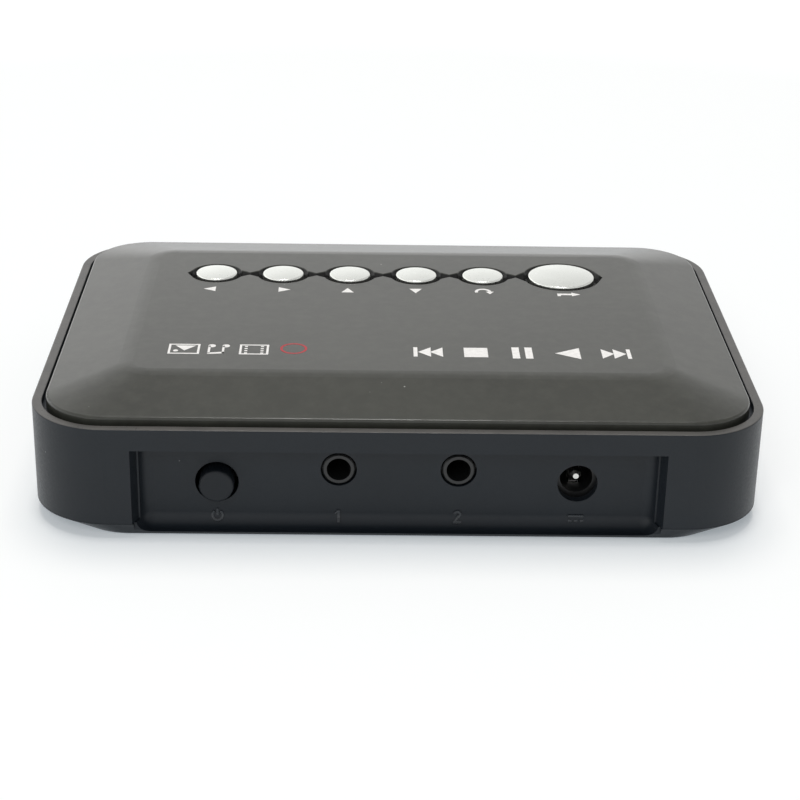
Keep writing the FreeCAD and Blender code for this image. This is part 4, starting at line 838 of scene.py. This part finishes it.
class PLAYER_OT_stage(bpy.types.Operator):
    """Sets the floor, the soft light and the camera"""
    bl_idname = "player.stage"
    bl_label = "Set the stage"

    # name, place in metres, width, power, colour, seen in reflections
    LAMPS = (("softbox_above", (0.0, 0.0, 2.5), 0.4, 15.5, (1.0, 1.0, 1.0), True),
             ("softbox_front", (0.0, -0.8, 2.5), 1.5, 29.9, (1.0, 0.935, 0.875), False),
             ("softbox_rear", (0.25, 0.9, 0.75), 0.5, 3.2, (1.0, 1.0, 1.0), False))
    LAMP_TARGET = (0.0, 0.0, 0.01)
    # The floor's own light: near the player, in reflections, and far out where it fades to white.
    FLOOR_GLOW, FLOOR_GLOW_COLOUR = 0.315, (0.84, 0.93, 1.0, 1.0)
    MIRRORED_GAIN, FAR_GAIN = 1.5, 3.4
    FADE_START, FADE_END = 0.25, 0.8

    def execute(self, context):
        scene = context.scene
        scene.view_settings.view_transform = "Standard"
        self.floor()
        self.world(scene)
        for lamp in self.LAMPS:
            self.lamp(*lamp)
        self.camera(scene)
        return {"FINISHED"}

    def floor(self):
        reach = sizes().floor_reach
        data = bpy.data.meshes.new("floor")
        corners = [(-reach, -reach, 0), (reach, -reach, 0), (reach, reach, 0), (-reach, reach, 0)]
        data.from_pydata(corners, [], [(0, 1, 2, 3)])
        floor = add_object("floor", data)
        m = Nodes("floor_paper")
        m.finish(tuple(colours().floor), 0.75, Specular_IOR_Level=0.25)
        path = m.add("ShaderNodeLightPath")
        glow = m.add("ShaderNodeEmission")
        glow.inputs["Color"].default_value = self.FLOOR_GLOW_COLOUR
        mirrored = m.math("MAXIMUM", path.outputs["Is Glossy Ray"], path.outputs["Is Transmission Ray"])
        distance = m.add("ShaderNodeVectorMath", operation="LENGTH")
        m.link(m.coordinates, distance.inputs[0])
        fade = m.remap(distance.outputs["Value"], self.FADE_START, self.FADE_END, 1.0, self.FAR_GAIN)
        direct = m.math("MULTIPLY", path.outputs["Is Camera Ray"], fade)
        seen = m.math("MAXIMUM", direct, m.math("MULTIPLY", mirrored, self.MIRRORED_GAIN))
        m.link(m.math("MULTIPLY", seen, self.FLOOR_GLOW), glow.inputs["Strength"])
        both = m.add("ShaderNodeAddShader")
        m.link(m.shader.outputs[0], both.inputs[0])
        m.link(glow.outputs[0], both.inputs[1])
        output = [n for n in m.tree.nodes if n.type == "OUTPUT_MATERIAL"][0]
        m.link(both.outputs[0], output.inputs["Surface"])
        data.materials.append(m.material)

    def world(self, scene):
        """White surroundings: full in view, shaded by direction in reflections, and dim as matt light."""
        world = bpy.data.worlds.new("studio")
        scene.world = world
        world.use_nodes = True
        tree = world.node_tree
        background = tree.nodes["Background"]
        background.inputs["Color"].default_value = (1.0, 1.0, 1.0, 1.0)

        def node(kind, **values):
            made = tree.nodes.new(kind)
            for key, value in values.items():
                setattr(made, key, value)
            return made

        def remap(value, low, high, to_low, to_high):
            made = node("ShaderNodeMapRange", interpolation_type="SMOOTHSTEP")
            for socket, number in zip(made.inputs[1:5], (low, high, to_low, to_high)):
                if isinstance(number, (int, float)):
                    socket.default_value = number
                else:
                    tree.links.new(number, socket)
            tree.links.new(value, made.inputs["Value"])
            return made.outputs["Result"]

        def combined(operation, first, second):
            made = node("ShaderNodeMath", operation=operation)
            tree.links.new(first, made.inputs[0])
            tree.links.new(second, made.inputs[1])
            return made.outputs["Value"]

        path = node("ShaderNodeLightPath")
        direction = node("ShaderNodeSeparateXYZ")
        tree.links.new(node("ShaderNodeTexCoord").outputs["Generated"], direction.inputs["Vector"])
        # Each level runs between two values over a range of one axis of the direction.
        horizon = remap(direction.outputs["Z"], 0.0, 0.25, 1.5, 1.13)
        ceiling = remap(direction.outputs["Z"], 0.3, 0.8, 1.0, 0.62)
        side = remap(direction.outputs["X"], -0.8, 0.8, 0.64, 1.14)
        reflected = combined("MULTIPLY", combined("MULTIPLY", horizon, ceiling), side)
        mirrored = combined("MAXIMUM", path.outputs["Is Glossy Ray"], path.outputs["Is Transmission Ray"])
        matt_light = 0.29
        level = remap(mirrored, 0.0, 1.0, matt_light, reflected)
        level = remap(path.outputs["Is Camera Ray"], 0.0, 1.0, level, 1.0)
        tree.links.new(level, background.inputs["Strength"])

    def lamp(self, name, place, width, power, colour, mirrored):
        light = bpy.data.lights.new(name, "AREA")
        light.size = width
        light.energy = power
        light.color = colour
        lamp = add_object(name, light)
        lamp.location = place
        lamp.visible_glossy = mirrored
        aim = Vector(self.LAMP_TARGET) - Vector(place)
        lamp.rotation_euler = aim.to_track_quat("-Z", "Y").to_euler()

    def camera(self, scene):
        """Camera behind and above the player, turned a little about its view axis."""
        place = Vector((5.885, 297.534, 139.025)) * MM
        forward = Vector((-0.02049, -0.91152, -0.41075)).normalized()
        roll = math.radians(1.108)
        data = bpy.data.cameras.new("camera")
        data.sensor_fit = "HORIZONTAL"
        data.sensor_width = 36.0
        data.lens = 88.21
        data.clip_start = 0.01
        camera = add_object("camera", data)
        camera.location = place
        turn = forward.to_track_quat("-Z", "Y").to_matrix() @ Matrix.Rotation(roll, 3, "Z")
        camera.rotation_euler = turn.to_euler()
        scene.camera = camera


class PLAYER_PT_panel(bpy.types.Panel):
    """Sidebar list of the steps"""
    bl_idname = "PLAYER_PT_panel"
    bl_label = "Media Player"
    bl_space_type = "VIEW_3D"
    bl_region_type = "UI"
    bl_category = "Player"

    def draw(self, context):
        for step in STEPS:
            self.layout.operator(step.bl_idname)
        for group in (context.scene.player_sizes, context.scene.player_colours):
            for name in group.bl_rna.properties.keys():
                if name not in ("rna_type", "name"):
                    self.layout.prop(group, name)


STEPS = (PLAYER_OT_stage, PLAYER_OT_dress_nodes, PLAYER_OT_return_spring, PLAYER_OT_key_signs,
         PLAYER_OT_lid_prints, PLAYER_OT_port_marks, PLAYER_OT_contacts)
CLASSES = (PlayerSizes, PlayerColours) + STEPS + (PLAYER_PT_panel,)


def register():
    for item in CLASSES:
        bpy.utils.register_class(item)
    bpy.types.Scene.player_sizes = PointerProperty(type=PlayerSizes)
    bpy.types.Scene.player_colours = PointerProperty(type=PlayerColours)


def unregister():
    del bpy.types.Scene.player_colours
    del bpy.types.Scene.player_sizes
    for item in reversed(CLASSES):
        bpy.utils.unregister_class(item)


def main():
    register()
    for step in STEPS:
        group, action = step.bl_idname.split(".")
        getattr(getattr(bpy.ops, group), action)()


if __name__ == "__main__":
    main()
